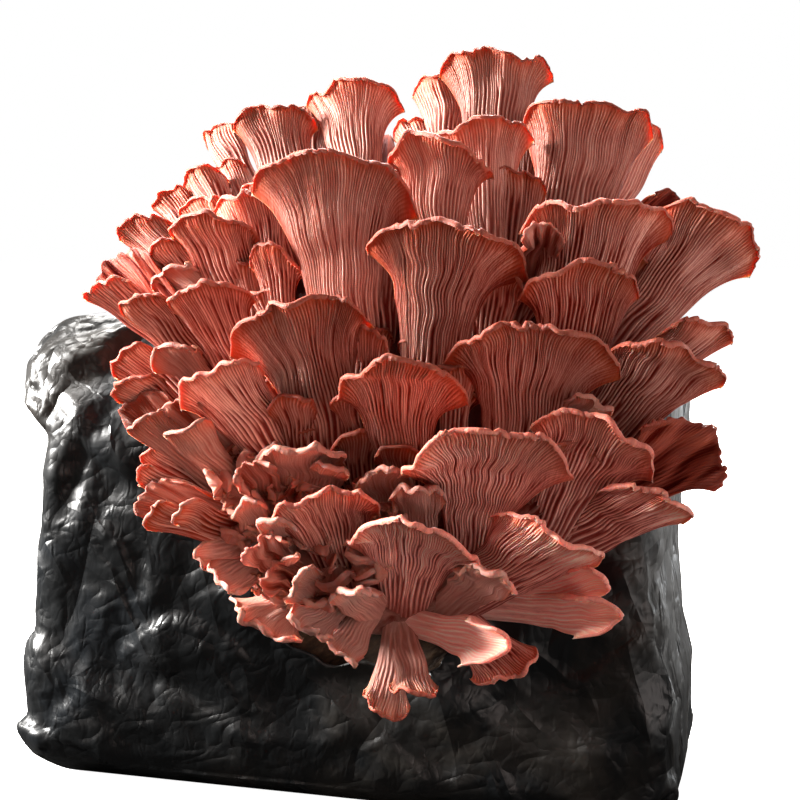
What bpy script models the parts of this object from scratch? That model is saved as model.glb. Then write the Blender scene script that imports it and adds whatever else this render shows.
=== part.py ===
"""Oyster mushroom grow bag: a film bag packed with substrate, and a flush of pink oyster mushrooms on it.

The origin is the centre of the bag's flat bottom, +Z is up, and the mushrooms grow out of the -Y face.
"""

import math
from collections import namedtuple

import bmesh
import bpy
from mathutils import Vector
from mathutils.bvhtree import BVHTree

MM = 0.001
CLEARANCE = 0.45 * MM

# The bag, a block of packed substrate in a thin film
BAG_WIDTH = 260 * MM
BAG_DEPTH = 120 * MM
BAG_HEIGHT = 185 * MM
BAG_CORNER = 18 * MM
FILM = 0.8 * MM
FILM_GAP = 0.4 * MM
BAG_CUTS = 5

# The drawing: the mushrooms are laid out in millimetres on an upright sheet in front of the bag,
# as seen from an eye point, and each is then carried back to its depth along the line of sight.
EYE_DISTANCE = 500 * MM
VIEW_TURN = math.radians(15)
VIEW_TILT = math.radians(7)
SHEET_CENTRE = Vector((40, -100, 163)) * MM
RIGHT = Vector((math.cos(VIEW_TURN), math.sin(VIEW_TURN), 0))
AHEAD = Vector(
    (
        -math.sin(VIEW_TURN) * math.cos(VIEW_TILT),
        math.cos(VIEW_TURN) * math.cos(VIEW_TILT),
        -math.sin(VIEW_TILT),
    )
)
UP = RIGHT.cross(AHEAD)
EYE = SHEET_CENTRE - AHEAD * EYE_DISTANCE

# The cluster base, an egg of fused stems, on the drawing sheet in millimetres
BASE_CENTRE = (3, -4)
BASE_RADII = (67, 73)
BASE_BACK = 40
BASE_BULGE = 34
FOOT_SINK = 4
DOME = 1.3

# The slit in the film, torn open by the flush
OPENING_CENTRE = (-8, -50)
OPENING_RADII = (44, 40)

# A cap: its thickness at the rim, how wide its stem is, and how it spreads
RIM_THICK = 2.2
STEM_HALF = 4.5
CUP_ANGLE = math.radians(62)
FACE_TURN = math.radians(24)

CORAL = (0.78, 0.25, 0.19, 1)
PALE_FLESH = (0.80, 0.42, 0.34, 1)
BLACK_FILM = (0.012, 0.014, 0.016, 1)
BROWN_SUBSTRATE = (0.10, 0.055, 0.03, 1)

# A lobe is one fan: the rim's left corner, top and right corner and the foot, as (across, up) on the
# sheet, and how far the rim is behind the sheet's middle. A high flare makes a trumpet and a low one
# a bowl, stem is the width at the foot as a share of the rim's, and gills_away turns the gills back.
Lobe = namedtuple(
    "Lobe", "left top right foot depth flare stem gills_away", defaults=(1.7, 0.42, False)
)

MUSHROOMS = {
    "mushroom_crown_peak": [Lobe((14, 113), (32, 116), (50, 110), (32, 58), 54, 2.4, 0.5)],
    "mushroom_crown_rear": [
        Lobe((5, 101), (13, 108), (21, 106), (18, 60), 62, 1.7, 0.5),
        Lobe((-3, 90), (3, 93), (9, 89), (14, 58), 60),
    ],
    "mushroom_crown_left": [Lobe((-30, 100), (-16, 106), (1, 98), (-13, 58), 40, 1.7, 0.4)],
    "mushroom_shoulder_left": [Lobe((-56, 94), (-43, 98), (-28, 90), (-33, 54), 42, 1.8, 0.45)],
    "mushroom_crown_inner": [Lobe((11, 88), (28, 93), (43, 91), (30, 34), 18, 2.0, 0.42)],
    "mushroom_crown_right": [Lobe((43, 93), (63, 99), (85, 96), (53, 36), 26, 2.0, 0.6)],
    "mushroom_crown_shadow": [Lobe((33, 83), (42, 90), (52, 90), (42, 50), 44, 1.5, 0.5)],
    "mushroom_right_rear": [Lobe((77, 90), (84, 92), (87, 83), (66, 40), 66, 1.6, 0.5)],
    "mushroom_inner_bright": [Lobe((-3, 82), (11, 88), (31, 73), (14, 36), 2, 1.7, 0.42)],
    "mushroom_great_left": [Lobe((-48, 77), (-22, 83), (4, 62), (-16, -4), -9, 2.8, 0.42)],
    "mushroom_great_centre": [Lobe((-8, 54), (15, 59), (43, 44), (8, -8), -19, 2.1, 0.36)],
    "mushroom_right_upper": [Lobe((43, 56), (67, 67), (91, 63), (54, 14), -2, 1.5, 0.5)],
    "mushroom_right_wing": [Lobe((85, 62), (111, 61), (119, 46), (72, 12), 18, 1.7, 0.42)],
    "mushroom_right_middle": [Lobe((40, 33), (64, 45), (78, 41), (54, -6), -11, 1.5, 0.5)],
    "mushroom_twisted_leaf": [Lobe((39, 46), (50, 57), (56, 54), (42, 38), -1, 1.2, 0.5, True)],
    "mushroom_left_tall": [
        Lobe((-65, 86), (-62, 91), (-53, 89), (-42, 50), 60),
        Lobe((-61, 78), (-57, 80), (-51, 72), (-43, 48), 52),
    ],
    "mushroom_left_lean": [Lobe((-73, 73), (-67, 78), (-58, 69), (-49, 42), 48)],
    "mushroom_left_wisp": [Lobe((-84, 66), (-77, 70), (-70, 67), (-55, 36), 50)],
    "mushroom_left_inner": [
        Lobe((-62, 64), (-52, 69), (-37, 55), (-38, 28), 20, 1.6, 0.5),
        Lobe((-54, 68), (-46, 72), (-40, 66), (-36, 36), 30),
    ],
    "mushroom_left_second": [Lobe((-74, 65), (-66, 67), (-59, 64), (-50, 36), 36)],
    "mushroom_left_arch": [Lobe((-77, 62), (-63, 61), (-48, 50), (-49, 22), 12, 1.5, 0.5)],
    "mushroom_left_small": [Lobe((-48, 48), (-43, 52), (-33, 38), (-38, 16), 12, 1.5, 0.5)],
    "mushroom_left_horn": [Lobe((-94, 58), (-89, 61), (-76, 57), (-60, 26), 38, 1.6, 0.5)],
    "mushroom_left_curl": [Lobe((-84, 50), (-78, 54), (-70, 47), (-57, 18), 26, 1.5, 0.5)],
    "mushroom_left_wing": [
        Lobe((-106, 37), (-99, 40), (-89, 36), (-62, 6), 22, 1.3, 0.5),
        Lobe((-104, 41), (-94, 48), (-85, 47), (-62, 10), 32, 1.3, 0.5, True),
    ],
    "mushroom_left_under_wing": [Lobe((-94, 33), (-87, 35), (-77, 31), (-57, 0), 10, 1.4, 0.5)],
    "mushroom_left_slope": [Lobe((-76, 35), (-67, 39), (-48, 31), (-47, -2), 2, 1.6, 0.5)],
    "mushroom_great_low_left": [Lobe((-59, 21), (-33, 33), (-13, 28), (-19, -32), -17, 2.6, 0.48)],
    "mushroom_tucked_centre": [Lobe((-18, 22), (-9, 23), (-5, 14), (-14, -10), -5)],
    "mushroom_left_middle": [Lobe((-77, 3), (-62, 11), (-47, 8), (-33, -28), -5, 1.3, 0.5)],
    "mushroom_round_centre": [Lobe((-19, 1), (-2, 14), (23, 0), (2, -38), -27, 1.5, 0.32)],
    "mushroom_great_right": [Lobe((18, 13), (44, 26), (74, 10), (38, -34), -21, 1.7, 0.38)],
    "mushroom_left_ruffle": [
        Lobe((-96, 9), (-92, 16), (-83, 17), (-55, -14), 24),
        Lobe((-97, 3), (-91, 7), (-79, 3), (-55, -18), 16),
    ],
    "mushroom_left_bowl": [
        Lobe((-93, -7), (-84, -5), (-77, -8), (-52, -34), 6, 1.2, 0.5),
        Lobe((-95, -6), (-88, 1), (-78, -1), (-54, -26), 18, 1.2, 0.5, True),
    ],
    "mushroom_left_lip": [
        Lobe((-80, -7), (-73, -11), (-63, -8), (-46, -36), -2, 1.2, 0.5),
        Lobe((-82, -4), (-75, -1), (-67, -5), (-49, -28), 9, 1.2, 0.5, True),
    ],
    "mushroom_left_frill": [
        Lobe((-87, -21), (-84, -16), (-80, -17), (-54, -38), 22),
        Lobe((-87, -29), (-87, -24), (-82, -22), (-52, -41), 20),
    ],
    "mushroom_left_low": [
        Lobe((-89, -39), (-82, -36), (-76, -38), (-48, -52), 7, 0.9, 0.5),
        Lobe((-78, -38), (-73, -36), (-66, -37), (-44, -48), 0, 0.9, 0.5),
        Lobe((-90, -35), (-84, -29), (-69, -33), (-49, -49), 17, 1.1, 0.5, True),
    ],
    "mushroom_right_behind": [Lobe((87, 18), (102, 26), (113, 25), (62, -8), 16, 1.3, 0.4)],
    "mushroom_right_lower_wing": [Lobe((70, 10), (92, 18), (111, 14), (61, -20), 0, 1.2, 0.45)],
    "mushroom_right_fan": [Lobe((47, -8), (68, -6), (86, -24), (47, -50), -16, 1.3, 0.35)],
    "mushroom_front_great": [Lobe((1, -28), (31, -9), (57, -25), (22, -62), -33, 1.5, 0.28)],
    "mushroom_right_funnel": [
        Lobe((68, -38), (87, -33), (101, -36), (60, -52), -2, 1.1, 0.45),
        Lobe((80, -18), (101, -10), (109, -22), (60, -44), 12, 1.2, 0.45, True),
    ],
    "mushroom_front_right": [Lobe((33, -40), (56, -41), (74, -47), (18, -68), -18, 0.9, 0.36)],
    "mushroom_front_low": [Lobe((-17, -48), (5, -41), (28, -60), (1, -78), -27, 1.6, 0.35)],
    "mushroom_front_left": [Lobe((-43, -37), (-27, -31), (-7, -36), (-16, -66), -18, 1.3, 0.35)],
    "mushroom_low_boat": [
        Lobe((48, -67), (73, -71), (60, -79), (29, -76), -4, 0.9, 0.4),
        Lobe((54, -63), (66, -57), (72, -63), (30, -74), 2, 1.1, 0.4),
    ],
    "mushroom_low_front": [Lobe((20, -74), (36, -82), (18, -89), (1, -78), -14, 0.9, 0.4)],
    "mushroom_low_pair": [Lobe((46, -86), (38, -92), (24, -92), (19, -77), 8, 1.2, 0.5)],
    "mushroom_hanging": [Lobe((11, -99), (0, -105), (-11, -99), (-1, -77), 6, 2.2, 0.42)],
    "mushroom_back_left": [Lobe((-38, 88), (-31, 95), (-22, 90), (-26, 44), 66, 1.6, 0.5, True)],
    "mushroom_back_middle": [Lobe((-10, 70), (8, 80), (25, 72), (6, 44), 90, 1.7, 0.4, True)],
    "mushroom_back_upper": [Lobe((-22, 84), (-12, 90), (-2, 84), (-6, 48), 72, 1.7, 0.4, True)],
    "mushroom_back_right": [Lobe((38, 82), (54, 90), (70, 84), (42, 42), 74, 1.7, 0.4, True)],
    "mushroom_back_side": [Lobe((-58, 56), (-47, 64), (-34, 60), (-32, 36), 74, 1.6, 0.45, True)],
    "mushroom_back_low": [Lobe((22, 50), (38, 60), (54, 52), (26, 34), 96, 1.6, 0.45, True)],
}

YOUNG_MUSHROOMS = [
    Lobe((-48, -20), (-32, -15), (-19, -22), (-28, -40), -10),
    Lobe((-14, -28), (-5, -23), (5, -29), (-3, -44), -10),
    Lobe((-53, -21), (-48, -17), (-42, -24), (-40, -42), -2),
    Lobe((57, -1), (64, 1), (72, -3), (52, -18), -2),
    Lobe((-57, -37), (-51, -33), (-45, -39), (-42, -52), -4, 1.2),
    Lobe((-47, -43), (-42, -40), (-34, -44), (-36, -56), -10, 1.2),
    Lobe((-54, -53), (-46, -48), (-37, -51), (-36, -60), -6, 1.2, 0.42, True),
    Lobe((-51, -60), (-58, -63), (-66, -57), (-42, -50), 8, 1.2),
    Lobe((-67, -57), (-68, -52), (-62, -48), (-44, -46), 14, 1.2),
    Lobe((-46, -63), (-42, -56), (-33, -54), (-28, -63), -6, 1.2, 0.42, True),
    Lobe((-33, -79), (-47, -76), (-58, -71), (-30, -62), 8, 1.1),
    Lobe((-40, -65), (-34, -60), (-25, -59), (-22, -66), -10, 1.1),
    Lobe((-22, -77), (-32, -77), (-38, -70), (-18, -66), -4, 1.2),
    Lobe((-26, -60), (-17, -64), (-6, -71), (-6, -74), -12, 0.9, 0.5),
    Lobe((-14, -87), (-20, -85), (-26, -78), (-10, -70), 8, 1.2),
]


def on_sheet(across, up, depth):
    """The point seen at that place on the sheet, at that depth behind its middle; all in millimetres."""
    sight = SHEET_CENTRE + (RIGHT * across + UP * up) * MM - EYE
    return EYE + sight * ((SHEET_CENTRE.y + depth * MM - EYE.y) / sight.y)


def base_depth(across, up, rear):
    """How far behind the sheet's middle the cluster base's surface is, in millimetres."""
    a = (across - BASE_CENTRE[0]) / BASE_RADII[0]
    b = (up - BASE_CENTRE[1]) / BASE_RADII[1]
    bulge = BASE_BULGE * math.sqrt(max(0.0, 1 - a * a - b * b))
    return BASE_BACK + bulge - FOOT_SINK if rear else BASE_BACK - bulge + FOOT_SINK


def kept_on_base(foot):
    """The foot, drawn in towards the base's middle if it lies past the base's edge."""
    a = (foot[0] - BASE_CENTRE[0]) / BASE_RADII[0]
    b = (foot[1] - BASE_CENTRE[1]) / BASE_RADII[1]
    reach = max(1.0, math.hypot(a, b) / 0.95)
    return Vector(
        (BASE_CENTRE[0] + a / reach * BASE_RADII[0], BASE_CENTRE[1] + b / reach * BASE_RADII[1])
    )


def lobe_point(lobe, along, side, inner):
    """A point on a lobe: along from foot 0 to rim 1, side from -1 left to 1 right."""
    left, top, right = Vector(lobe.left), Vector(lobe.top), Vector(lobe.right)
    foot = kept_on_base(lobe.foot)
    half = (right - left) / 2
    rise = top - (left + right) / 2
    axis = (top - foot).normalized()
    square = Vector((axis.y, -axis.x)) * half.length
    if square.dot(half) < 0:
        square = -square
    stem = min(0.8, max(lobe.stem, STEM_HALF / half.length))
    spread = half * (1 - stem) * along**lobe.flare + square * stem
    swing = math.sin(side * CUP_ANGLE) / math.sin(CUP_ANGLE)
    cupped = (1 - math.cos(side * CUP_ANGLE)) / (1 - math.cos(CUP_ANGLE))
    flat = foot + (top - foot) * along + spread * swing - rise * cupped * along**2
    start = base_depth(foot.x, foot.y, lobe.depth > BASE_BACK + 24)
    rim = BASE_BACK - (BASE_BACK - lobe.depth) * DOME
    lean = 1.4 if rim < start else 0.8
    cup = spread.length * math.tan(CUP_ANGLE / 2) * cupped
    turn = math.tan(FACE_TURN * top.x / 100) * spread.x * swing
    thick = RIM_THICK + (1.3 * stem * half.length - RIM_THICK) * (1 - along) ** 2
    skin = thick * math.sqrt(max(0.0, 1 - side * side)) if inner else 0.0
    depth = start + (rim - start) * along**lean + turn + skin
    return on_sheet(flat.x, flat.y, depth - cup if lobe.gills_away else depth + cup)


def lobe_rings(lobe):
    """Closed sections of the lobe from foot to rim: the gill side, then the cap side back again."""
    width = (Vector(lobe.right) - Vector(lobe.left)).length
    columns = 6 if width > 34 else 5 if width > 24 else 4
    rows = 4 if lobe.flare > 2 else 3 if width > 17 else 2
    sides = [-1 + 2 * i / columns for i in range(columns + 1)]
    rings = []
    for row in range(rows + 1):
        along = row / rows
        gills = [lobe_point(lobe, along, s, False) for s in sides]
        cap = [lobe_point(lobe, along, s, True) for s in reversed(sides[1:-1])]
        rings.append(gills + cap)
    return rings


def skin_rings(bm, rings):
    """Joins the rings by quads and closes both ends with a strip between their two sides."""
    loops = [[bm.verts.new(p) for p in ring] for ring in rings]
    count = len(loops[0])
    for low, high in zip(loops, loops[1:]):
        for i in range(count):
            j = (i + 1) % count
            bm.faces.new((low[i], low[j], high[j], high[i]))
    for loop in (loops[0], loops[-1]):
        half = count // 2
        for i in range(half):
            near, far = loop[i], loop[i + 1]
            other_near, other_far = loop[-i % count], loop[(-i - 1) % count]
            corners = []
            for vert in (near, far, other_far, other_near):
                if vert not in corners:
                    corners.append(vert)
            bm.faces.new(corners)


def mesh_from(bm, name):
    """A mesh with outward normals, all triangles."""
    bmesh.ops.triangulate(bm, faces=bm.faces)
    bmesh.ops.recalc_face_normals(bm, faces=bm.faces)
    mesh = bpy.data.meshes.new(name)
    bm.to_mesh(mesh)
    bm.free()
    return mesh


def add_object(name, mesh):
    """A new object in the scene."""
    obj = bpy.data.objects.new(name, mesh)
    bpy.context.scene.collection.objects.link(obj)
    return obj


def remove_object(obj):
    """Takes an object and its mesh out of the file."""
    mesh = obj.data
    bpy.data.objects.remove(obj)
    bpy.data.meshes.remove(mesh)


def combine(obj, other, operation):
    """Replaces obj's mesh by its Boolean with other."""
    modifier = obj.modifiers.new(operation.title(), "BOOLEAN")
    modifier.operation = operation
    modifier.object = other
    modifier.solver = "MANIFOLD"
    graph = bpy.context.evaluated_depsgraph_get()
    made = bpy.data.meshes.new_from_object(obj.evaluated_get(graph))
    obj.modifiers.remove(modifier)
    old = obj.data
    obj.data = made
    made.name = old.name
    bpy.data.meshes.remove(old)


def keep_largest(obj):
    """Deletes all but the largest of the separate pieces that trimming can leave."""
    bm = bmesh.new()
    bm.from_mesh(obj.data)
    bmesh.ops.remove_doubles(bm, verts=bm.verts, dist=0.002 * MM)
    bmesh.ops.triangulate(bm, faces=bm.faces)
    left = set(bm.faces)
    pieces = []
    while left:
        piece, front = set(), [left.pop()]
        while front:
            face = front.pop()
            piece.add(face)
            for edge in face.edges:
                for near in edge.link_faces:
                    if near in left:
                        left.discard(near)
                        front.append(near)
        pieces.append(piece)
    pieces.sort(key=lambda piece: -sum(face.calc_area() for face in piece))
    spare = [face for piece in pieces[1:] for face in piece]
    bmesh.ops.delete(bm, geom=spare, context="FACES")
    bm.to_mesh(obj.data)
    bm.free()


def swollen(obj, by):
    """A copy of obj with its surface moved out, to cut its neighbours with."""
    bm = bmesh.new()
    bm.from_mesh(obj.data)
    bm.normal_update()
    moves = [(vert, vert.normal * by * min(3.0, vert.calc_shell_factor())) for vert in bm.verts]
    for vert, move in moves:
        vert.co += move
    return add_object("cutter_" + obj.name, mesh_from(bm, "cutter"))


def cutters_for(obj):
    """A wide cutter, and a close one for the narrow places where the wide one folds over itself."""
    return [swollen(obj, CLEARANCE), swollen(obj, CLEARANCE / 6), swollen(obj, 0)]


def tree_of(obj):
    """A search tree of the object's faces."""
    bm = bmesh.new()
    bm.from_mesh(obj.data)
    tree = BVHTree.FromBMesh(bm)
    bm.free()
    return tree


def principled(name, colour, roughness, metallic=0.0):
    """A plain finish."""
    material = bpy.data.materials.new(name)
    material.use_nodes = True
    shader = material.node_tree.nodes["Principled BSDF"]
    shader.inputs["Base Color"].default_value = colour
    shader.inputs["Roughness"].default_value = roughness
    shader.inputs["Metallic"].default_value = metallic
    return material


def bag_point(p):
    """A point of the unit cube carried to the bag's outside: a round-edged block that sags a little."""
    even = [c * (1.5 - 0.5 * c * c) for c in p]
    half = Vector((BAG_WIDTH, BAG_DEPTH, BAG_HEIGHT)) / 2
    target = Vector([e * h for e, h in zip(even, half)])
    core = Vector([max(-h + BAG_CORNER, min(h - BAG_CORNER, t)) for t, h in zip(target, half)])
    out = target - core
    if out.length > BAG_CORNER:
        out *= BAG_CORNER / out.length
    point = core + out
    x, y, z = (point[i] / half[i] for i in range(3))
    belly = (1 - x * x) * (1 - z * z)
    point.y += math.copysign(3 * MM, y) * belly * abs(y)
    point.x *= 1 + 0.03 * (0.3 - z) * (1 - 0.3 * z * z)
    point.z += BAG_HEIGHT / 2
    if z > -0.9:
        lumps = math.sin(3.1 * x + 5 * y + 1) * math.cos(4 * z - 2 * x)
        point += Vector((x, y, 0)) * 1.2 * MM * lumps
    ear = max(0.0, 1 - ((z - 0.75) / 0.5) ** 2) * max(0.0, -x - 0.8) / 0.2
    point.x -= 6 * MM * ear * (1 if y < 0 else 0.5)
    return point


def bag_mesh(inset):
    """The closed bag outline, moved in along its normals by inset."""
    bm = bmesh.new()
    bmesh.ops.create_cube(bm, size=2)
    bmesh.ops.subdivide_edges(bm, edges=bm.edges, cuts=BAG_CUTS, use_grid_fill=True)
    for vert in bm.verts:
        vert.co = bag_point(vert.co)
    bmesh.ops.triangulate(bm, faces=bm.faces)
    bmesh.ops.recalc_face_normals(bm, faces=bm.faces)
    bm.normal_update()
    moves = [(vert, vert.normal * inset) for vert in bm.verts]
    for vert, move in moves:
        vert.co -= move
    return bm


def build_bag(film, substrate):
    """The film with its cut opening, and the block of substrate inside it."""
    block = add_object("substrate_block", mesh_from(bag_mesh(FILM + FILM_GAP), "substrate_block"))
    block.data.materials.append(substrate)
    bm = bag_mesh(0)
    inside = bag_mesh(FILM)
    bmesh.ops.reverse_faces(inside, faces=inside.faces)
    spare = bpy.data.meshes.new("inside")
    inside.to_mesh(spare)
    inside.free()
    bm.from_mesh(spare)
    bpy.data.meshes.remove(spare)
    mesh = bpy.data.meshes.new("bag_film")
    bm.to_mesh(mesh)
    bm.free()
    bag = add_object("bag_film", mesh)
    cutter = bpy.data.meshes.new("opening")
    bm = bmesh.new()
    rim = bmesh.ops.create_cone(
        bm, cap_ends=True, segments=20, radius1=1, radius2=1, depth=1
    )["verts"]
    for vert in rim:
        x, y, z = vert.co
        vert.co = on_sheet(
            OPENING_CENTRE[0] + x * OPENING_RADII[0],
            OPENING_CENTRE[1] + y * OPENING_RADII[1],
            BASE_BACK + z * -24,
        )
    bmesh.ops.recalc_face_normals(bm, faces=bm.faces)
    bm.to_mesh(cutter)
    bm.free()
    hole = add_object("opening", cutter)
    combine(bag, hole, "DIFFERENCE")
    remove_object(hole)
    bag.data.materials.clear()
    bag.data.materials.append(film)


def build_base(flesh):
    """The lump of fused stems over the opening, with the young mushrooms that have just come up on it."""
    bm = bmesh.new()
    bmesh.ops.create_icosphere(bm, subdivisions=3, radius=1)
    for vert in bm.verts:
        x, y, z = vert.co
        ribs = 1 + 0.02 * math.sin(9 * math.atan2(z, x))
        vert.co = on_sheet(
            BASE_CENTRE[0] + x * BASE_RADII[0] * ribs,
            BASE_CENTRE[1] + z * BASE_RADII[1] * ribs,
            BASE_BACK + y * BASE_BULGE,
        )
    base = add_object("cluster_base", mesh_from(bm, "cluster_base"))
    for lobe in YOUNG_MUSHROOMS:
        young = lobe_object("young", lobe)
        combine(base, young, "UNION")
        remove_object(young)
    solid = bag_solid()
    combine(base, solid, "DIFFERENCE")
    remove_object(solid)
    keep_largest(base)
    base.data.materials.clear()
    base.data.materials.append(flesh)
    return base


def bag_solid():
    """The bag as a full block, a little larger than it is, to cut the cluster with."""
    return add_object("bag_cutter", mesh_from(bag_mesh(-CLEARANCE), "bag_cutter"))


def lobe_object(name, lobe):
    """One lobe as a closed solid of its own."""
    bm = bmesh.new()
    skin_rings(bm, lobe_rings(lobe))
    return add_object(name, mesh_from(bm, name))


def build_mushroom(name, lobes, finish):
    """One mushroom: its lobes joined into one solid."""
    parts = [lobe_object(name, lobe) for lobe in lobes]
    whole = parts[0]
    for part in parts[1:]:
        combine(whole, part, "UNION")
        remove_object(part)
    whole.name = name
    whole.data.name = name
    whole.data.materials.clear()
    whole.data.materials.append(finish)
    return whole


def trim_cluster(mushrooms, base):
    """Cuts each mushroom back from the bag, the base and those in front of it, where they meet."""
    cutters = [bag_solid()] + cutters_for(base)
    trees = [tree_of(cutter) for cutter in cutters]
    for mushroom in mushrooms:
        for cutter, tree in zip(cutters, trees):
            if tree.overlap(tree_of(mushroom)):
                combine(mushroom, cutter, "DIFFERENCE")
        keep_largest(mushroom)
        fresh = cutters_for(mushroom)
        cutters += fresh
        trees += [tree_of(cutter) for cutter in fresh]
    for cutter in cutters:
        remove_object(cutter)


def main():
    """Builds the whole object from an empty scene."""
    for obj in list(bpy.data.objects):
        bpy.data.objects.remove(obj)
    film = principled("black_film", BLACK_FILM, 0.25)
    substrate = principled("substrate", BROWN_SUBSTRATE, 0.9)
    flesh = principled("pale_flesh", PALE_FLESH, 0.6)
    coral = principled("coral_cap", CORAL, 0.55)
    build_bag(film, substrate)
    base = build_base(flesh)
    mushrooms = [build_mushroom(name, lobes, coral) for name, lobes in MUSHROOMS.items()]
    depths = {name: min(lobe.depth for lobe in lobes) for name, lobes in MUSHROOMS.items()}
    mushrooms.sort(key=lambda mushroom: depths[mushroom.name])
    trim_cluster(mushrooms, base)


main()
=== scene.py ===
"""Oyster mushroom grow bag: a crinkled black film bag of substrate with a flush of pink oyster mushrooms.

Every mushroom is laid out on an upright drawing sheet in front of the bag, in millimetres, and is carried
back to its depth along the line of sight, as in the part's own source. Each piece replaces its CAD node.
"""

from __future__ import annotations

import logging
import math
from dataclasses import dataclass, field, replace
from enum import Enum
from typing import NamedTuple

import bpy
import numpy as np
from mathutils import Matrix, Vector


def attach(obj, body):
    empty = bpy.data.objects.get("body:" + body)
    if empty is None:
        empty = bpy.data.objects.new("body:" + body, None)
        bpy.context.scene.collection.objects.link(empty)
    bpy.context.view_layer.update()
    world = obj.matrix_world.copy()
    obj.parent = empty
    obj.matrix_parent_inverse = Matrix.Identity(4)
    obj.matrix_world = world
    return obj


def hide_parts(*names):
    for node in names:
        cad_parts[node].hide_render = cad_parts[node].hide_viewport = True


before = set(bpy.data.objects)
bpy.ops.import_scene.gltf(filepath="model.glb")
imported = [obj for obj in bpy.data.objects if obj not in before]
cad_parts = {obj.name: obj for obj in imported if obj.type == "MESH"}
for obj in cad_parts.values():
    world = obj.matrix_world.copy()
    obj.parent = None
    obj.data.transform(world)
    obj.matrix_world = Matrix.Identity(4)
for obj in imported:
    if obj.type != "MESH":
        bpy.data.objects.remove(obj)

LOG = logging.getLogger("grow_bag")
MM = 0.001
Array = np.ndarray
Socket = bpy.types.NodeSocket
Colour = tuple[float, float, float]


class Slot(Enum):
    """The record's material slots."""

    FILM = "black_film"
    SUBSTRATE = "substrate"
    PALE = "pale_flesh"
    CORAL = "coral_flesh"


class Lobe(NamedTuple):
    """One fan: its rim's left corner, top and right corner and its foot on the sheet, in millimetres.

    Attributes:
        left: The rim's left corner.
        top: The rim's top.
        right: The rim's right corner.
        foot: Where the fan leaves the base.
        depth: How far behind the sheet's middle the rim is.
        flare: How late the fan widens.
        stem: The stem's width, as a share of the rim's.
        gills_away: Whether the gills face away from the eye.
    """

    left: tuple[float, float]
    top: tuple[float, float]
    right: tuple[float, float]
    foot: tuple[float, float]
    depth: float
    flare: float = 1.7
    stem: float = 0.42
    gills_away: bool = False


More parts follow.
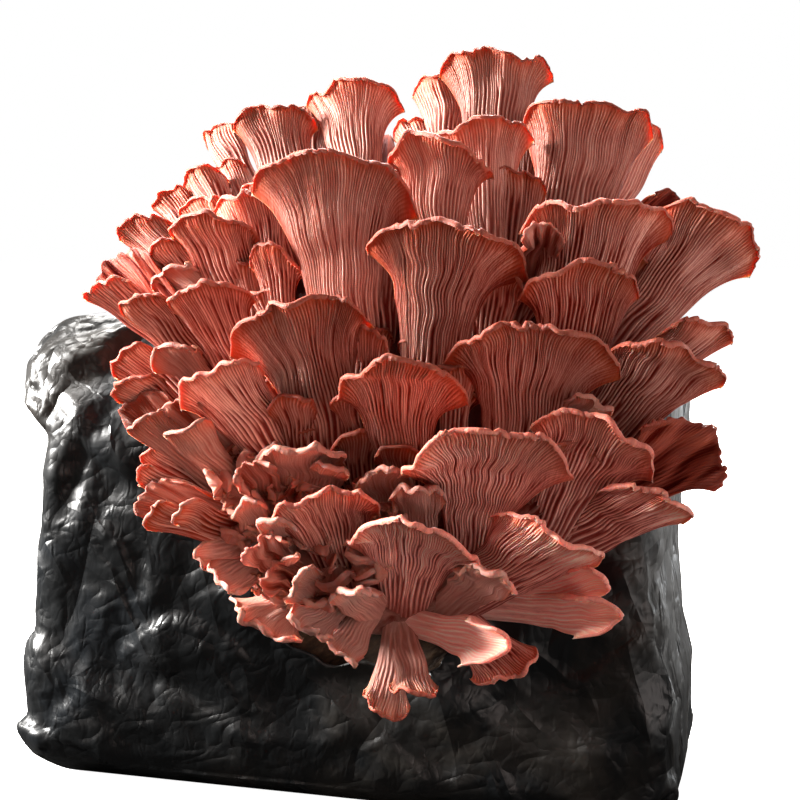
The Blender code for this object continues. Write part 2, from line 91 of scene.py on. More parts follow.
MUSHROOMS: dict[str, list[Lobe]] = {
    "mushroom_crown_peak": [Lobe((14, 113), (32, 116), (50, 110), (32, 58), 54, 2.4, 0.5)],
    "mushroom_crown_rear": [
        Lobe((5, 101), (13, 108), (21, 106), (18, 60), 62, 1.7, 0.5),
        Lobe((-3, 90), (3, 93), (9, 89), (14, 58), 60),
    ],
    "mushroom_crown_left": [Lobe((-30, 100), (-16, 106), (1, 98), (-13, 58), 40, 1.7, 0.4)],
    "mushroom_shoulder_left": [Lobe((-56, 94), (-43, 98), (-28, 90), (-33, 54), 42, 1.8, 0.45)],
    "mushroom_crown_inner": [Lobe((11, 88), (28, 93), (43, 91), (30, 34), 18, 2.0, 0.42)],
    "mushroom_crown_right": [Lobe((43, 93), (63, 99), (85, 96), (53, 36), 26, 2.0, 0.6)],
    "mushroom_crown_shadow": [Lobe((33, 83), (42, 90), (52, 90), (42, 50), 44, 1.5, 0.5)],
    "mushroom_right_rear": [Lobe((77, 90), (84, 92), (87, 83), (66, 40), 66, 1.6, 0.5)],
    "mushroom_inner_bright": [Lobe((-3, 82), (11, 88), (31, 73), (14, 36), 2, 1.7, 0.42)],
    "mushroom_great_left": [Lobe((-48, 77), (-22, 83), (4, 62), (-16, -4), -9, 2.8, 0.42)],
    "mushroom_great_centre": [Lobe((-8, 54), (15, 59), (43, 44), (8, -8), -19, 2.1, 0.36)],
    "mushroom_right_upper": [Lobe((43, 56), (67, 67), (91, 63), (54, 14), -2, 1.5, 0.5)],
    "mushroom_right_wing": [Lobe((85, 62), (111, 61), (119, 46), (72, 12), 18, 1.7, 0.42)],
    "mushroom_right_middle": [Lobe((40, 33), (64, 45), (78, 41), (54, -6), -11, 1.5, 0.5)],
    "mushroom_twisted_leaf": [Lobe((41, 51), (49, 58), (55, 53), (44, 37), -6, 1.0, 0.5, True)],
    "mushroom_left_tall": [
        Lobe((-65, 86), (-62, 91), (-53, 89), (-42, 50), 60),
        Lobe((-61, 78), (-57, 80), (-51, 72), (-43, 48), 52),
    ],
    "mushroom_left_lean": [Lobe((-73, 73), (-67, 78), (-58, 69), (-49, 42), 48)],
    "mushroom_left_wisp": [Lobe((-84, 66), (-77, 70), (-70, 67), (-55, 36), 50)],
    "mushroom_left_inner": [
        Lobe((-62, 64), (-52, 69), (-37, 55), (-38, 28), 20, 1.6, 0.5),
        Lobe((-54, 68), (-46, 72), (-40, 66), (-36, 36), 30),
    ],
    "mushroom_left_second": [Lobe((-74, 65), (-66, 67), (-59, 64), (-50, 36), 36)],
    "mushroom_left_arch": [Lobe((-77, 62), (-63, 61), (-48, 50), (-49, 22), 12, 1.5, 0.5)],
    "mushroom_left_small": [Lobe((-48, 48), (-43, 52), (-33, 38), (-38, 16), 12, 1.5, 0.5)],
    "mushroom_left_horn": [Lobe((-94, 58), (-89, 61), (-76, 57), (-60, 26), 38, 1.6, 0.5)],
    "mushroom_left_curl": [Lobe((-84, 50), (-78, 54), (-70, 47), (-57, 18), 26, 1.5, 0.5)],
    "mushroom_left_wing": [
        Lobe((-106, 37), (-99, 40), (-89, 36), (-62, 6), 22, 1.3, 0.5),
        Lobe((-104, 41), (-94, 48), (-85, 47), (-62, 10), 32, 1.3, 0.5, True),
    ],
    "mushroom_left_under_wing": [Lobe((-94, 33), (-87, 35), (-77, 31), (-57, 0), 10, 1.4, 0.5)],
    "mushroom_left_slope": [Lobe((-76, 35), (-67, 39), (-48, 31), (-47, -2), 2, 1.6, 0.5)],
    "mushroom_great_low_left": [Lobe((-59, 21), (-33, 33), (-13, 28), (-19, -32), -17, 2.6, 0.48)],
    "mushroom_tucked_centre": [Lobe((-18, 22), (-9, 23), (-5, 14), (-14, -10), -5)],
    "mushroom_left_middle": [Lobe((-77, 3), (-62, 11), (-47, 8), (-33, -28), -5, 1.3, 0.5)],
    "mushroom_round_centre": [Lobe((-19, 1), (-2, 14), (23, 0), (2, -38), -27, 1.5, 0.32)],
    "mushroom_great_right": [Lobe((18, 13), (44, 26), (74, 10), (38, -34), -21, 1.7, 0.38)],
    "mushroom_left_ruffle": [
        Lobe((-96, 9), (-92, 16), (-83, 17), (-55, -14), 24),
        Lobe((-97, 3), (-91, 7), (-79, 3), (-55, -18), 16),
    ],
    "mushroom_left_bowl": [
        Lobe((-93, -7), (-84, -5), (-77, -8), (-52, -34), 6, 1.2, 0.5),
        Lobe((-95, -6), (-88, 1), (-78, -1), (-54, -26), 18, 1.2, 0.5, True),
    ],
    "mushroom_left_lip": [
        Lobe((-80, -7), (-73, -11), (-63, -8), (-46, -36), -2, 1.2, 0.5),
        Lobe((-82, -4), (-75, -1), (-67, -5), (-49, -28), 9, 1.2, 0.5, True),
    ],
    "mushroom_left_frill": [
        Lobe((-87, -21), (-84, -16), (-80, -17), (-54, -38), 22),
        Lobe((-87, -29), (-87, -24), (-82, -22), (-52, -41), 20),
    ],
    "mushroom_left_low": [
        Lobe((-89, -39), (-82, -36), (-76, -38), (-48, -52), 7, 0.9, 0.5),
        Lobe((-78, -38), (-73, -36), (-66, -37), (-44, -48), 0, 0.9, 0.5),
        Lobe((-90, -35), (-84, -29), (-69, -33), (-49, -49), 17, 1.1, 0.5, True),
    ],
    "mushroom_right_behind": [Lobe((87, 18), (102, 26), (113, 25), (62, -8), 16, 1.3, 0.4)],
    "mushroom_right_lower_wing": [Lobe((70, 10), (92, 18), (111, 14), (61, -20), 0, 1.2, 0.45)],
    "mushroom_right_fan": [Lobe((47, -8), (68, -6), (86, -24), (47, -50), -16, 1.3, 0.35)],
    "mushroom_front_great": [Lobe((1, -28), (31, -9), (57, -25), (22, -62), -33, 1.5, 0.28)],
    "mushroom_right_funnel": [
        Lobe((69, -38), (86, -31), (104, -31), (60, -58), -2, 0.9, 0.45),
        Lobe((79, -15), (103, -10), (107, -28), (66, -42), 14, 1.2, 0.5, True),
    ],
    "mushroom_front_right": [Lobe((34, -40), (51, -45), (74, -46), (18, -68), -18, 0.9, 0.36)],
    "mushroom_front_low": [Lobe((-17, -48), (5, -41), (28, -60), (1, -78), -27, 1.6, 0.35)],
    "mushroom_front_left": [Lobe((-43, -37), (-27, -31), (-7, -36), (-16, -66), -18, 1.3, 0.35)],
    "mushroom_low_boat": [
        Lobe((48, -67), (73, -71), (60, -79), (29, -76), -4, 0.9, 0.4),
        Lobe((54, -63), (66, -57), (72, -63), (30, -74), 2, 1.1, 0.4),
    ],
    "mushroom_low_front": [Lobe((20, -74), (36, -82), (18, -89), (1, -78), -14, 0.9, 0.4)],
    "mushroom_low_pair": [Lobe((46, -86), (38, -92), (24, -92), (19, -77), 8, 1.2, 0.5)],
    "mushroom_hanging": [
        Lobe((2, -105), (-6, -105), (-11, -97), (-1, -77), 7, 2.0, 0.45),
        Lobe((-4, -95), (6, -98), (12, -101), (0, -77), 2, 2.4, 0.45),
    ],
    "mushroom_back_left": [Lobe((-38, 88), (-31, 95), (-22, 90), (-26, 44), 66, 1.6, 0.5, True)],
    "mushroom_back_middle": [Lobe((-10, 70), (8, 80), (25, 72), (6, 44), 90, 1.7, 0.4, True)],
    "mushroom_back_upper": [Lobe((-22, 84), (-12, 90), (-2, 84), (-6, 48), 72, 1.7, 0.4, True)],
    "mushroom_back_right": [Lobe((38, 82), (54, 90), (70, 84), (42, 42), 74, 1.7, 0.4, True)],
    "mushroom_back_side": [Lobe((-58, 56), (-47, 64), (-34, 60), (-32, 36), 74, 1.6, 0.45, True)],
    "mushroom_back_low": [Lobe((22, 50), (38, 60), (54, 52), (26, 34), 96, 1.6, 0.45, True)],
}

YOUNG_MUSHROOMS: list[Lobe] = [
    Lobe((-48, -20), (-32, -15), (-19, -22), (-28, -40), -10),
    Lobe((-14, -28), (-5, -23), (5, -29), (-3, -44), -10),
    Lobe((-29.3, -23), (-23.7, -21.5), (-17, -26), (-27, -38), -6),
    Lobe((-53, -31), (-51, -22), (-41, -24), (-40, -39), -12, 1.1, 0.45, True),
    Lobe((57, -1), (64, 1), (72, -3), (52, -18), -2),
    Lobe((-57, -37), (-51, -33), (-45, -39), (-42, -52), -4, 1.2),
    Lobe((-47, -43), (-42, -40), (-34, -44), (-36, -56), -10, 1.2),
    Lobe((-54, -53), (-46, -48), (-37, -51), (-36, -60), -6, 1.2, 0.42, True),
    Lobe((-51, -60), (-58, -63), (-66, -57), (-42, -50), 8, 1.2),
    Lobe((-67, -57), (-68, -52), (-62, -48), (-44, -46), 14, 1.2),
    Lobe((-46, -63), (-42, -56), (-33, -54), (-28, -63), -6, 1.2, 0.42, True),
    Lobe((-33, -79), (-47, -76), (-58, -71), (-30, -62), 8, 1.1),
    Lobe((-40, -65), (-34, -60), (-25, -59), (-22, -66), -10, 1.1),
    Lobe((-22, -77), (-32, -77), (-38, -70), (-18, -66), -4, 1.2),
    Lobe((-26, -60), (-17, -64), (-6, -71), (-6, -74), -12, 0.9, 0.5),
    Lobe((-14, -87), (-20, -85), (-26, -78), (-10, -70), 8, 1.2),
    Lobe((20, -62), (31, -56), (41, -62), (12, -76), -21, 1.0, 0.5),
    Lobe((-84, 14), (-77, 19), (-66, 12), (-56, -4), 16, 1.2, 0.5),
    Lobe((-3, -31), (6, -28), (15, -33), (7, -52), -12, 1.2, 0.5),
    Lobe((-84, 40), (-75, 45), (-67, 38), (-50, 20), 26, 1.2, 0.5),
]

HIDDEN_MUSHROOMS: list[Lobe] = [
    Lobe((-24, -17), (-15, -11), (-4, -16), (-13, -36), 4, 1.5, 0.5),
    Lobe((-8, -20), (0, -15), (8, -20), (0, -38), 4, 1.5, 0.5),
    Lobe((10, -24), (16, -19), (22, -24), (16, -42), 0, 1.5, 0.5),
    Lobe((-14, 44), (-6, 60), (4, 52), (-6, 8), 10, 1.5, 0.5),
    Lobe((22, 38), (33, 44), (42, 36), (27, 6), 0, 1.5, 0.5),
    Lobe((28, 70), (38, 76), (48, 70), (36, 24), 24, 1.5, 0.5),
    Lobe((-7, 72), (-3, 78), (1, 73), (2, 50), 12, 1.5, 0.5),
    Lobe((-38, 90), (-31, 97), (-23, 93), (-28, 60), 62, 1.5, 0.5),
    Lobe((84, 65), (91, 69), (97, 64), (80, 46), 34, 1.3, 0.5, True),
    Lobe((10, 6), (18, 12), (26, 8), (18, -20), 0, 1.5, 0.5),
    Lobe((-24, -2), (-14, 4), (-8, -2), (-12, -26), -8, 1.5, 0.5),
    Lobe((50, -20), (60, -14), (70, -20), (46, -36), -2, 1.5, 0.5),
    Lobe((-30, 60), (-22, 66), (-14, 60), (-22, 20), 22, 1.5, 0.5),
    Lobe((46, 8), (56, 14), (66, 8), (48, -20), 4, 1.5, 0.5),
    Lobe((-44, -4), (-36, 2), (-28, -4), (-32, -28), 0, 1.5, 0.5),
    Lobe((60, 44), (72, 52), (84, 44), (62, 14), 22, 1.5, 0.5),
    Lobe((72, 52), (83, 60), (93, 52), (68, 18), 32, 1.2, 0.5),
    Lobe((-60, 40), (-52, 46), (-44, 40), (-46, 12), 22, 1.5, 0.5),
]


@dataclass(frozen=True)
class DrawingSheet:
    """The upright sheet in front of the bag that the mushrooms are drawn on, and the eye that sees it.

    Attributes:
        eye_distance: How far the eye is from the sheet's middle, in millimetres.
        turn: How far the line of sight turns from +Y towards -X, in degrees.
        tilt: How far it looks down, in degrees.
        centre: The sheet's middle, in millimetres.
    """

    eye_distance: float = 500.0
    turn: float = 15.0
    tilt: float = 7.0
    centre: tuple[float, float, float] = (40.0, -100.0, 163.0)

    @property
    def right(self) -> Array:
        """The sheet's level direction."""
        turn = math.radians(self.turn)
        return np.array([math.cos(turn), math.sin(turn), 0.0])

    @property
    def ahead(self) -> Array:
        """The direction of sight."""
        turn, tilt = math.radians(self.turn), math.radians(self.tilt)
        return np.array([-math.sin(turn) * math.cos(tilt), math.cos(turn) * math.cos(tilt), -math.sin(tilt)])

    @property
    def up(self) -> Array:
        """The sheet's upward direction."""
        return np.cross(self.right, self.ahead)

    @property
    def eye(self) -> Array:
        """The eye point, in millimetres."""
        return np.array(self.centre) - self.ahead * self.eye_distance

    def seen(self, points: Array) -> tuple[Array, Array]:
        """Finds where points are seen on the sheet.

        Args:
            points: Places in metres, in the last axis.

        Returns:
            Their distances to the right of the sheet's middle and above it, in millimetres.
        """
        sight = points / MM - self.eye
        reach = sight @ self.ahead / self.eye_distance
        return sight @ self.right / reach, sight @ self.up / reach

    def place(self, across: Array, up: Array, depth: Array) -> Array:
        """Carries points of the sheet back along the line of sight.

        Args:
            across: Distances to the right of the sheet's middle, in millimetres.
            up: Distances above it.
            depth: How far behind the sheet's middle each point ends up, along +Y.

        Returns:
            The points in metres, with one more axis than the inputs.
        """
        eye = self.eye
        sight = np.array(self.centre) - eye + across[..., None] * self.right + up[..., None] * self.up
        reach = (self.centre[1] + depth - eye[1]) / sight[..., 1]
        return (eye + sight * reach[..., None]) * MM


SHEET = DrawingSheet()


@dataclass(frozen=True)
class BaseShape:
    """The egg of fused stems, on the drawing sheet, in millimetres.

    Attributes:
        centre: Its middle on the sheet.
        radii: Its half width and half height there.
        back: How far behind the sheet's middle its own middle is.
        bulge: Its radius along the line of sight.
        foot_sink: How far under the surface a foot starts.
        foot_share: How far out a foot may be, as a share of the way to the edge.
        dome: How much further out than drawn the rims stand.
        rear_from: How far behind the egg's middle a rim is if its fan grows from the rear.
    """

    centre: tuple[float, float] = (3.0, -4.0)
    radii: tuple[float, float] = (67.0, 73.0)
    back: float = 40.0
    bulge: float = 34.0
    foot_sink: float = 1.5
    foot_share: float = 0.95
    dome: float = 1.3
    rear_from: float = 24.0

    def kept_on(self, foot: tuple[float, float]) -> Array:
        """Draws a foot in towards the middle if it lies past the base's edge.

        Args:
            foot: The foot as drawn.

        Returns:
            The foot on the base.
        """
        offset = (np.array(foot) - self.centre) / self.radii
        reach = max(1.0, float(np.hypot(*offset)) / self.foot_share)
        return np.array(self.centre) + offset / reach * self.radii

    def reach(self, place: Array) -> float:
        """How far out a place is: 0 at the middle and 1 at the edge, squared."""
        offset = (place - np.array(self.centre)) / self.radii
        return float(offset @ offset)

    def foot_depth(self, foot: Array, rear: bool) -> float:
        """How deep a foot starts, just under the base's front surface or its rear one."""
        inside = self.bulge * math.sqrt(max(0.0, 1 - self.reach(foot))) - self.foot_sink
        return self.back + (inside if rear else -inside)

    def rim_depth(self, place: Array, stand: float, side: int) -> float:
        """How deep a rim is drawn that stands out from the base, in front (side -1) or behind (side 1)."""
        return self.back + side * (self.bulge * math.sqrt(1 - self.reach(place)) + stand) / self.dome


BASE = BaseShape()


def smooth_step(low: float | Array, high: float | Array, value: float | Array) -> Array:
    """0 below low, 1 above high, and an S-curve between."""
    t = np.clip((value - low) / (high - low), 0.0, 1.0)
    return t * t * (3 - 2 * t)


def waves(rng: np.random.Generator, points: Array, wavelength: float, count: int = 14) -> Array:
    """Makes smooth noise about -1 to 1 from many plane waves.

    Args:
        rng: The source of the waves' directions and phases.
        points: The places to read the noise at, in the last axis.
        wavelength: The mean wavelength, in the points' own unit.
        count: How many waves are added.

    Returns:
        One value for each point.
    """
    dims = points.shape[-1]
    total = np.zeros(points.shape[:-1])
    for _ in range(count):
        direction = rng.normal(size=dims)
        direction *= 2 * math.pi / (wavelength * rng.uniform(0.7, 1.4) * np.linalg.norm(direction))
        total += np.sin(points @ direction + rng.uniform(0, 2 * math.pi))
    return total / math.sqrt(count / 2) * 0.6


def unit(vectors: Array) -> Array:
    """The vectors, each at a length of 1."""
    return vectors / (np.linalg.norm(vectors, axis=-1, keepdims=True) + 1e-12)


def read_vectors(mesh: bpy.types.Mesh, kind: str) -> Array:
    """Reads a vector of each of a mesh's points.

    Args:
        mesh: The mesh.
        kind: Which vector: "co" for the place or "normal".

    Returns:
        One row for each point.
    """
    values = np.empty(len(mesh.vertices) * 3)
    mesh.vertices.foreach_get(kind, values)
    return values.reshape(-1, 3)


def move_points(mesh: bpy.types.Mesh, points: Array) -> None:
    """Moves a mesh's points to new places."""
    mesh.vertices.foreach_set("co", points.ravel())
    mesh.update()


def deselect(mode: str) -> None:
    """Deselects all of the mesh that is worked on.

    Args:
        mode: The select mode that stays set, such as VERT.
    """
    bpy.ops.object.mode_set(mode="EDIT")
    bpy.ops.mesh.select_mode(type=mode)
    bpy.ops.mesh.select_all(action="DESELECT")
    bpy.ops.object.mode_set(mode="OBJECT")


class Layer(Enum):
    """What a mesh's points carry for its finish: the layer's name, its type and its entry."""

    GROWTH = ("growth", "FLOAT_COLOR", "color")
    FIBRES = ("fibres", "FLOAT_VECTOR", "vector")

    def add(self, mesh: bpy.types.Mesh, values: Array) -> None:
        """Adds the layer to a mesh, with one row of values for each point."""
        name, kind, entry = self.value
        mesh.attributes.new(name, kind, "POINT").data.foreach_set(entry, values.astype(np.float32).ravel())


@dataclass
class MeshBuffer:
    """The points, triangles, growth and fibres of one piece, gathered before its mesh is made.

    Growth is how far along the fan a point is, how high its gill is, whether it is on the cap side, and the
    fan's tone, with its painted light and shade. Fibres are the distances along and across the fan, and a
    number of its own.
    """

    points: list[Array] = field(default_factory=list)
    triangles: list[Array] = field(default_factory=list)
    growth: list[Array] = field(default_factory=list)
    fibres: list[Array] = field(default_factory=list)
    count: int = 0

    def add(self, points: Array, triangles: Array, growth: Array, fibres: Array) -> None:
        """Adds one closed shell, turned so that its faces point outwards.

        Args:
            points: The shell's points, in metres.
            triangles: Three point numbers for each face.
            growth: Four values for each point.
            fibres: Three values for each point.
        """
        corners = points[triangles]
        volume = np.einsum("ij,ij->i", corners[:, 0], np.cross(corners[:, 1], corners[:, 2])).sum()
        if volume < 0:
            triangles = triangles[:, ::-1]
        self.points.append(points)
        self.triangles.append(triangles + self.count)
        self.growth.append(growth)
        self.fibres.append(fibres)
        self.count += len(points)

    def to_object(self, name: str) -> bpy.types.Object:
        """Makes the mesh and its object.

        Args:
            name: The name of both.

        Returns:
            The object, at the origin.
        """
        mesh = bpy.data.meshes.new(name)
        mesh.from_pydata(np.concatenate(self.points).tolist(), [], np.concatenate(self.triangles).tolist())
        Layer.GROWTH.add(mesh, np.concatenate(self.growth))
        Layer.FIBRES.add(mesh, np.concatenate(self.fibres))
        mesh.polygons.foreach_set("use_smooth", np.ones(len(mesh.polygons), dtype=bool))
        mesh.update()
        piece = bpy.data.objects.new(name, mesh)
        bpy.context.scene.collection.objects.link(piece)
        return piece


@dataclass(frozen=True)
class FanKind:
    """How the fans of one kind grow. Sizes are in millimetres.

    Attributes:
        tones: The least and the greatest tone, where 0.7 is plain and less is darker; the dark tones of
            hidden and crowding fans are painted shade.
        painted_high_shade: How much painted shade darkens a fan that is drawn high on the sheet.
        gill_gap: The distance between gills at the rim.
        gill_height: How far a gill stands out.
        row_step: The distance between rows of points.
        least_rows: The fewest rows between the foot and the rim.
        rim_rows: How many more rows the last tenth has.
        rim_thick: The flesh's thickness at the rim.
        rim_arc: How much longer the curved rim is than the line between its corners.
        cup_angle: Half the angle that the fan curls round from side to side.
        face_turn: How far a fan 100 mm from the middle faces outwards.
        stem_half: The stem's least half width.
        widest_stem: The stem's greatest width, as a share of the rim's.
        columns_per_gill: How many columns of points a gill has.
        cap_stride: How many of those columns are one column on the cap side.
        away_stride: The same where the gills face away from the eye.
        flare_gain: How much more strongly than drawn the fan flares.
        late_flare: The share of the widening that comes just under the rim.
        late_power: How late that share comes.
        full_size: The half width of a fan that has the full bumps and ruffles.
        crumple: How far the fan is bent out of shape.
        crumple_length: The wavelength of those bends.
        curl_rows: How many rows of points go round the lip.
        curl_radius: The lip's radius.
        away_curl: How much larger it is where the gills face away.
        curl_turn: How far round the lip rolls.
        lip_bumps: The lip's bumps: their wavelength and their height as a share of the radius.
        corner_drop: How far the corners hang, as a share of the half width.
        most_drop: The most that they hang, as a share of the length.
        corner_allowance: How much wider the fan is made than its corners are drawn.
    """

    tones: tuple[float, float] = (0.3, 0.7)
    painted_high_shade: float = 0.0
    gill_gap: float = 1.0
    gill_height: float = 1.05
    row_step: float = 1.6
    least_rows: int = 14
    rim_rows: int = 8
    rim_thick: float = 1.7
    rim_arc: float = 1.22
    cup_angle: float = math.radians(72)
    face_turn: float = math.radians(24)
    stem_half: float = 4.5
    widest_stem: float = 0.8
    columns_per_gill: int = 3
    cap_stride: int = 4
    away_stride: int = 1
    flare_gain: float = 1.25
    late_flare: float = 0.28
    late_power: float = 6
    full_size: float = 18.0
    crumple: float = 0.7
    crumple_length: float = 20.0
    curl_rows: int = 7
    curl_radius: float = 0.44
    away_curl: float = 0.3
    curl_turn: float = math.radians(165)
    lip_bumps: tuple[tuple[float, float], ...] = ((2.0, 0.36), (9.0, 0.35))
    corner_drop: float = 0.36
    most_drop: float = 0.17
    corner_allowance: float = 1.05

    def tone(self, lobe: Lobe, rng: np.random.Generator) -> float:
        """Draws how light a fan is: a random tone, less the painted shade on fans drawn high."""
        return rng.uniform(*self.tones) - self.painted_high_shade * smooth_step(-45.0, -25.0, lobe.top[1])


FULL_GROWN = FanKind()
# Young fans drawn high are darkened with painted shade.
YOUNG = FanKind(
    tones=(0.2, 0.8), painted_high_shade=0.8, gill_gap=0.85, gill_height=0.4, full_size=14.0, crumple=1.0,
    crumple_length=18.0, curl_radius=0.6,
)
# Hidden and crowding fans in the gaps between the large ones get dark tones: painted shade.
HIDDEN = FanKind(tones=(-0.7, 0.0))
CROWDING = FanKind(tones=(-0.9, -0.2), gill_gap=1.3, row_step=2.0, least_rows=10, stem_half=3.0)
REAR = FanKind(tones=(0.2, 0.9), gill_gap=1.2, row_step=1.8, least_rows=10, stem_half=3.5, away_stride=4)
CRUMPLED = FanKind(
    tones=(0.2, 0.9), gill_height=0.4, rim_thick=2.4, stem_half=3.0, crumple=1.7, crumple_length=11.0,
    cup_angle=math.radians(95), least_rows=11, full_size=10.0, away_stride=2,
)

GILL_ORDERS = 4
GILL_STARTS = (-0.3, 0.5, 0.18, 0.5)
RIM_BUMPS = ((1.3, 1.0), (2.6, 0.9), (4.3, 0.55))
RUFFLES = ((0.7, 1.0), (1.5, 0.9), (2.9, 0.5), (5.2, 0.16))
PLEATS = ((2.5, 1 / 2.5), (5.5, 1 / 5.5))
# The rib height of plain cap sides, which darkens them evenly with a little painted shade.
PLAIN_CAP = 0.85


@dataclass
class FanSurface:
    """One gilled fan, grown from its foot to its rim.

    Its rows of points go from the foot, where u is 0, to the rim, where u is 1, and then round the lip. The
    points of a row go across the fan, from v = -1 to v = 1.

    Attributes:
        lobe: Where the fan is drawn.
        rng: The source of its irregularities.
        tone: How light it is: 0.7 is plain, and less is darker. It carries the fan's painted light and shade
            as well as its own tone.
        kind: How it grows.
    """

    lobe: Lobe
    rng: np.random.Generator
    tone: float
    kind: FanKind

    def __post_init__(self) -> None:
        """Works out the sizes that the rest of the fan is made from."""
        kind = self.kind
        left, right = np.array(self.lobe.left), np.array(self.lobe.right)
        self.top = np.array(self.lobe.top, dtype=float)
        self.foot = BASE.kept_on(self.lobe.foot)
        self.half = (right - left) / 2 * kind.corner_allowance
        self.half_length = float(np.linalg.norm(self.half))
        self.rise = self.top - (left + right) / 2
        self.length = float(np.linalg.norm(self.top - self.foot))
        self.axis = (self.top - self.foot) / self.length
        square = np.array([self.axis[1], -self.axis[0]]) * self.half_length
        self.square = square if square @ self.half >= 0 else -square
        self.stem = min(kind.widest_stem, max(self.lobe.stem, kind.stem_half / self.half_length))
        self.size = min(1.0, self.half_length / kind.full_size)
        arc = 2 * self.half_length * kind.rim_arc
        self.gills = GILL_ORDERS * max(3, round(arc / kind.gill_gap / GILL_ORDERS))
        rows = max(kind.least_rows, int(self.length / kind.row_step))
        self.body = np.concatenate([np.linspace(0, 0.88, rows), np.linspace(0.9, 1.0, kind.rim_rows)])
        self.curl = np.linspace(0, 1, kind.curl_rows + 1)[1:]
        self.along = np.concatenate([self.body, np.ones(kind.curl_rows)])[:, None]
        self.curled = np.concatenate([np.zeros(len(self.body)), self.curl])[:, None]
        self.across = np.linspace(-1, 1, self.gills * kind.columns_per_gill + 1)
        self.lateral = self.across * self.half_length * self._widening(self.along)

    def _widening(self, u: Array) -> Array:
        """Finds the fan's width at a height: it grows slowly at first, like a trumpet's bell.

        Args:
            u: Heights on the fan.

        Returns:
            The widths, as shares of the rim's.
        """
        late, flare = self.kind.late_flare, self.kind.flare_gain * self.lobe.flare
        bell = (1 - late) * u**flare + late * u ** (flare + self.kind.late_power)
        return self.stem + (1 - self.stem) * bell

    def _ripple(self, v: Array, wavelength: float) -> Array:
        """Noise that runs across the fan."""
        return waves(self.rng, v[..., None] * self.half_length, wavelength)

    def _swings(self, v: Array, parts: tuple[tuple[float, float], ...], longest: float) -> Array:
        """Adds up wide waves across the fan.

        Args:
            v: Places across the fan.
            parts: For each wave, its number of half waves and its height.
            longest: The most that the number is multiplied by. The least is 0.8.

        Returns:
            The waves' height at each place.
        """
        total = np.zeros_like(v)
        for number, share in parts:
            bent = math.pi * number * self.rng.uniform(0.8, longest) * v
            total = total + share * np.sin(bent + self.rng.uniform(0, 6.3))
        return total

    def _wobbled(self, u: Array, v: Array) -> Array:
        """Leads the gills sideways in soft waves that meet and part.

        Args:
            u: Heights on the fan.
            v: The gills' even places across it.

        Returns:
            Their uneven places.
        """
        width = self.half_length * self._widening(u)
        plane = np.stack(np.broadcast_arrays(u * self.length * 0.22, v * width), axis=-1)
        gain = 0.2 + 0.8 * (1 - smooth_step(0.2, 0.75, u))
        return v + 0.36 * gain * waves(self.rng, plane, 6.0) / width * (1 - v * v) * np.minimum(1, u * 4)

    def _notches(self, u: Array, v: Array) -> Array:
        """Finds how far the rim's soft bumps and crinkles reach past the smooth rim, along the fan.

        Args:
            u: Heights on the fan.
            v: Places across it.

        Returns:
            The distance at each point, in millimetres.
        """
        bumps = np.zeros_like(v)
        for number, share in RIM_BUMPS:
            phase = self.rng.uniform(0, 2 * math.pi)
            bumps = bumps + share * np.sin(math.pi * number * self.rng.uniform(0.8, 1.25) * v + phase)
        crinkle = self._ripple(v, 4.2) * 0.6 + self._ripple(v, 2.1) * 0.3
        patchy = smooth_step(-0.5, 0.6, self._ripple(v, 16.0))
        return self.size * (0.85 * bumps * u**6) + crinkle * patchy * u**14

    def _ruffles(self, u: Array, v: Array) -> Array:
        """Finds how far the pleats, the ruffles and the rolled-out rim stand towards the gill side.

        Args:
            u: Heights on the fan.
            v: Places across it.

        Returns:
            The distance at each point, in millimetres.
        """
        ruffle = self._swings(v, RUFFLES, 1.25)
        pleat = self._swings(v, PLEATS, 1.2)
        rolled = 4.6 * u**8 * (1 + 0.25 * ruffle)
        crinkle = self._ripple(v, 3.2) * 0.4 * u**12
        return self.size * (1.6 * ruffle * u**5 + pleat * u**1.4 + rolled) + crinkle

    def _middle(self) -> Array:
        """Lays out the fan's gill side without its gills, and its lip.

        Returns:
            The points in metres: rows by columns by 3.
        """
        kind, u0 = self.kind, self.body[:, None]
        v = self._wobbled(u0, self.across[None, :])
        drop = min(kind.corner_drop * self.half_length, kind.most_drop * self.length) / self.length
        u = u0 - drop * np.abs(v) ** 7 * u0**4
        spread = self.half * (self._widening(u0) - self.stem)[..., None] + self.square * self.stem
        swing = np.sin(v * kind.cup_angle) / math.sin(kind.cup_angle)
        cupped = (1 - np.cos(v * kind.cup_angle)) / (1 - math.cos(kind.cup_angle))
        flat = self.foot + (self.top - self.foot) * u[..., None] + spread * swing[..., None]
        flat = flat - self.rise * (cupped * (0.5 * u**2 + 0.5 * u**6))[..., None]
        flat = flat + self.axis * self._notches(u, v)[..., None]
        start = BASE.foot_depth(self.foot, self.lobe.depth > BASE.back + BASE.rear_from)
        rim = BASE.back - (BASE.back - self.lobe.depth) * BASE.dome
        lean = 1.4 if rim < start else 0.8
        cup = np.linalg.norm(spread, axis=-1) * math.tan(kind.cup_angle / 2) * cupped
        turn = math.tan(kind.face_turn * self.top[0] / 100) * spread[..., 0] * swing
        facing = -1 if self.lobe.gills_away else 1
        depth = start + (rim - start) * u**lean + turn + facing * (cup - self._ruffles(u, v))
        placed = SHEET.place(flat[..., 0], flat[..., 1], depth)
        bent = np.stack([waves(self.rng, placed / MM, kind.crumple_length) for _ in range(3)], axis=-1)
        placed = placed + kind.crumple * MM * bent * smooth_step(0.1, 0.6, u)[..., None]
        return np.concatenate([placed, self._lip(placed, facing)])

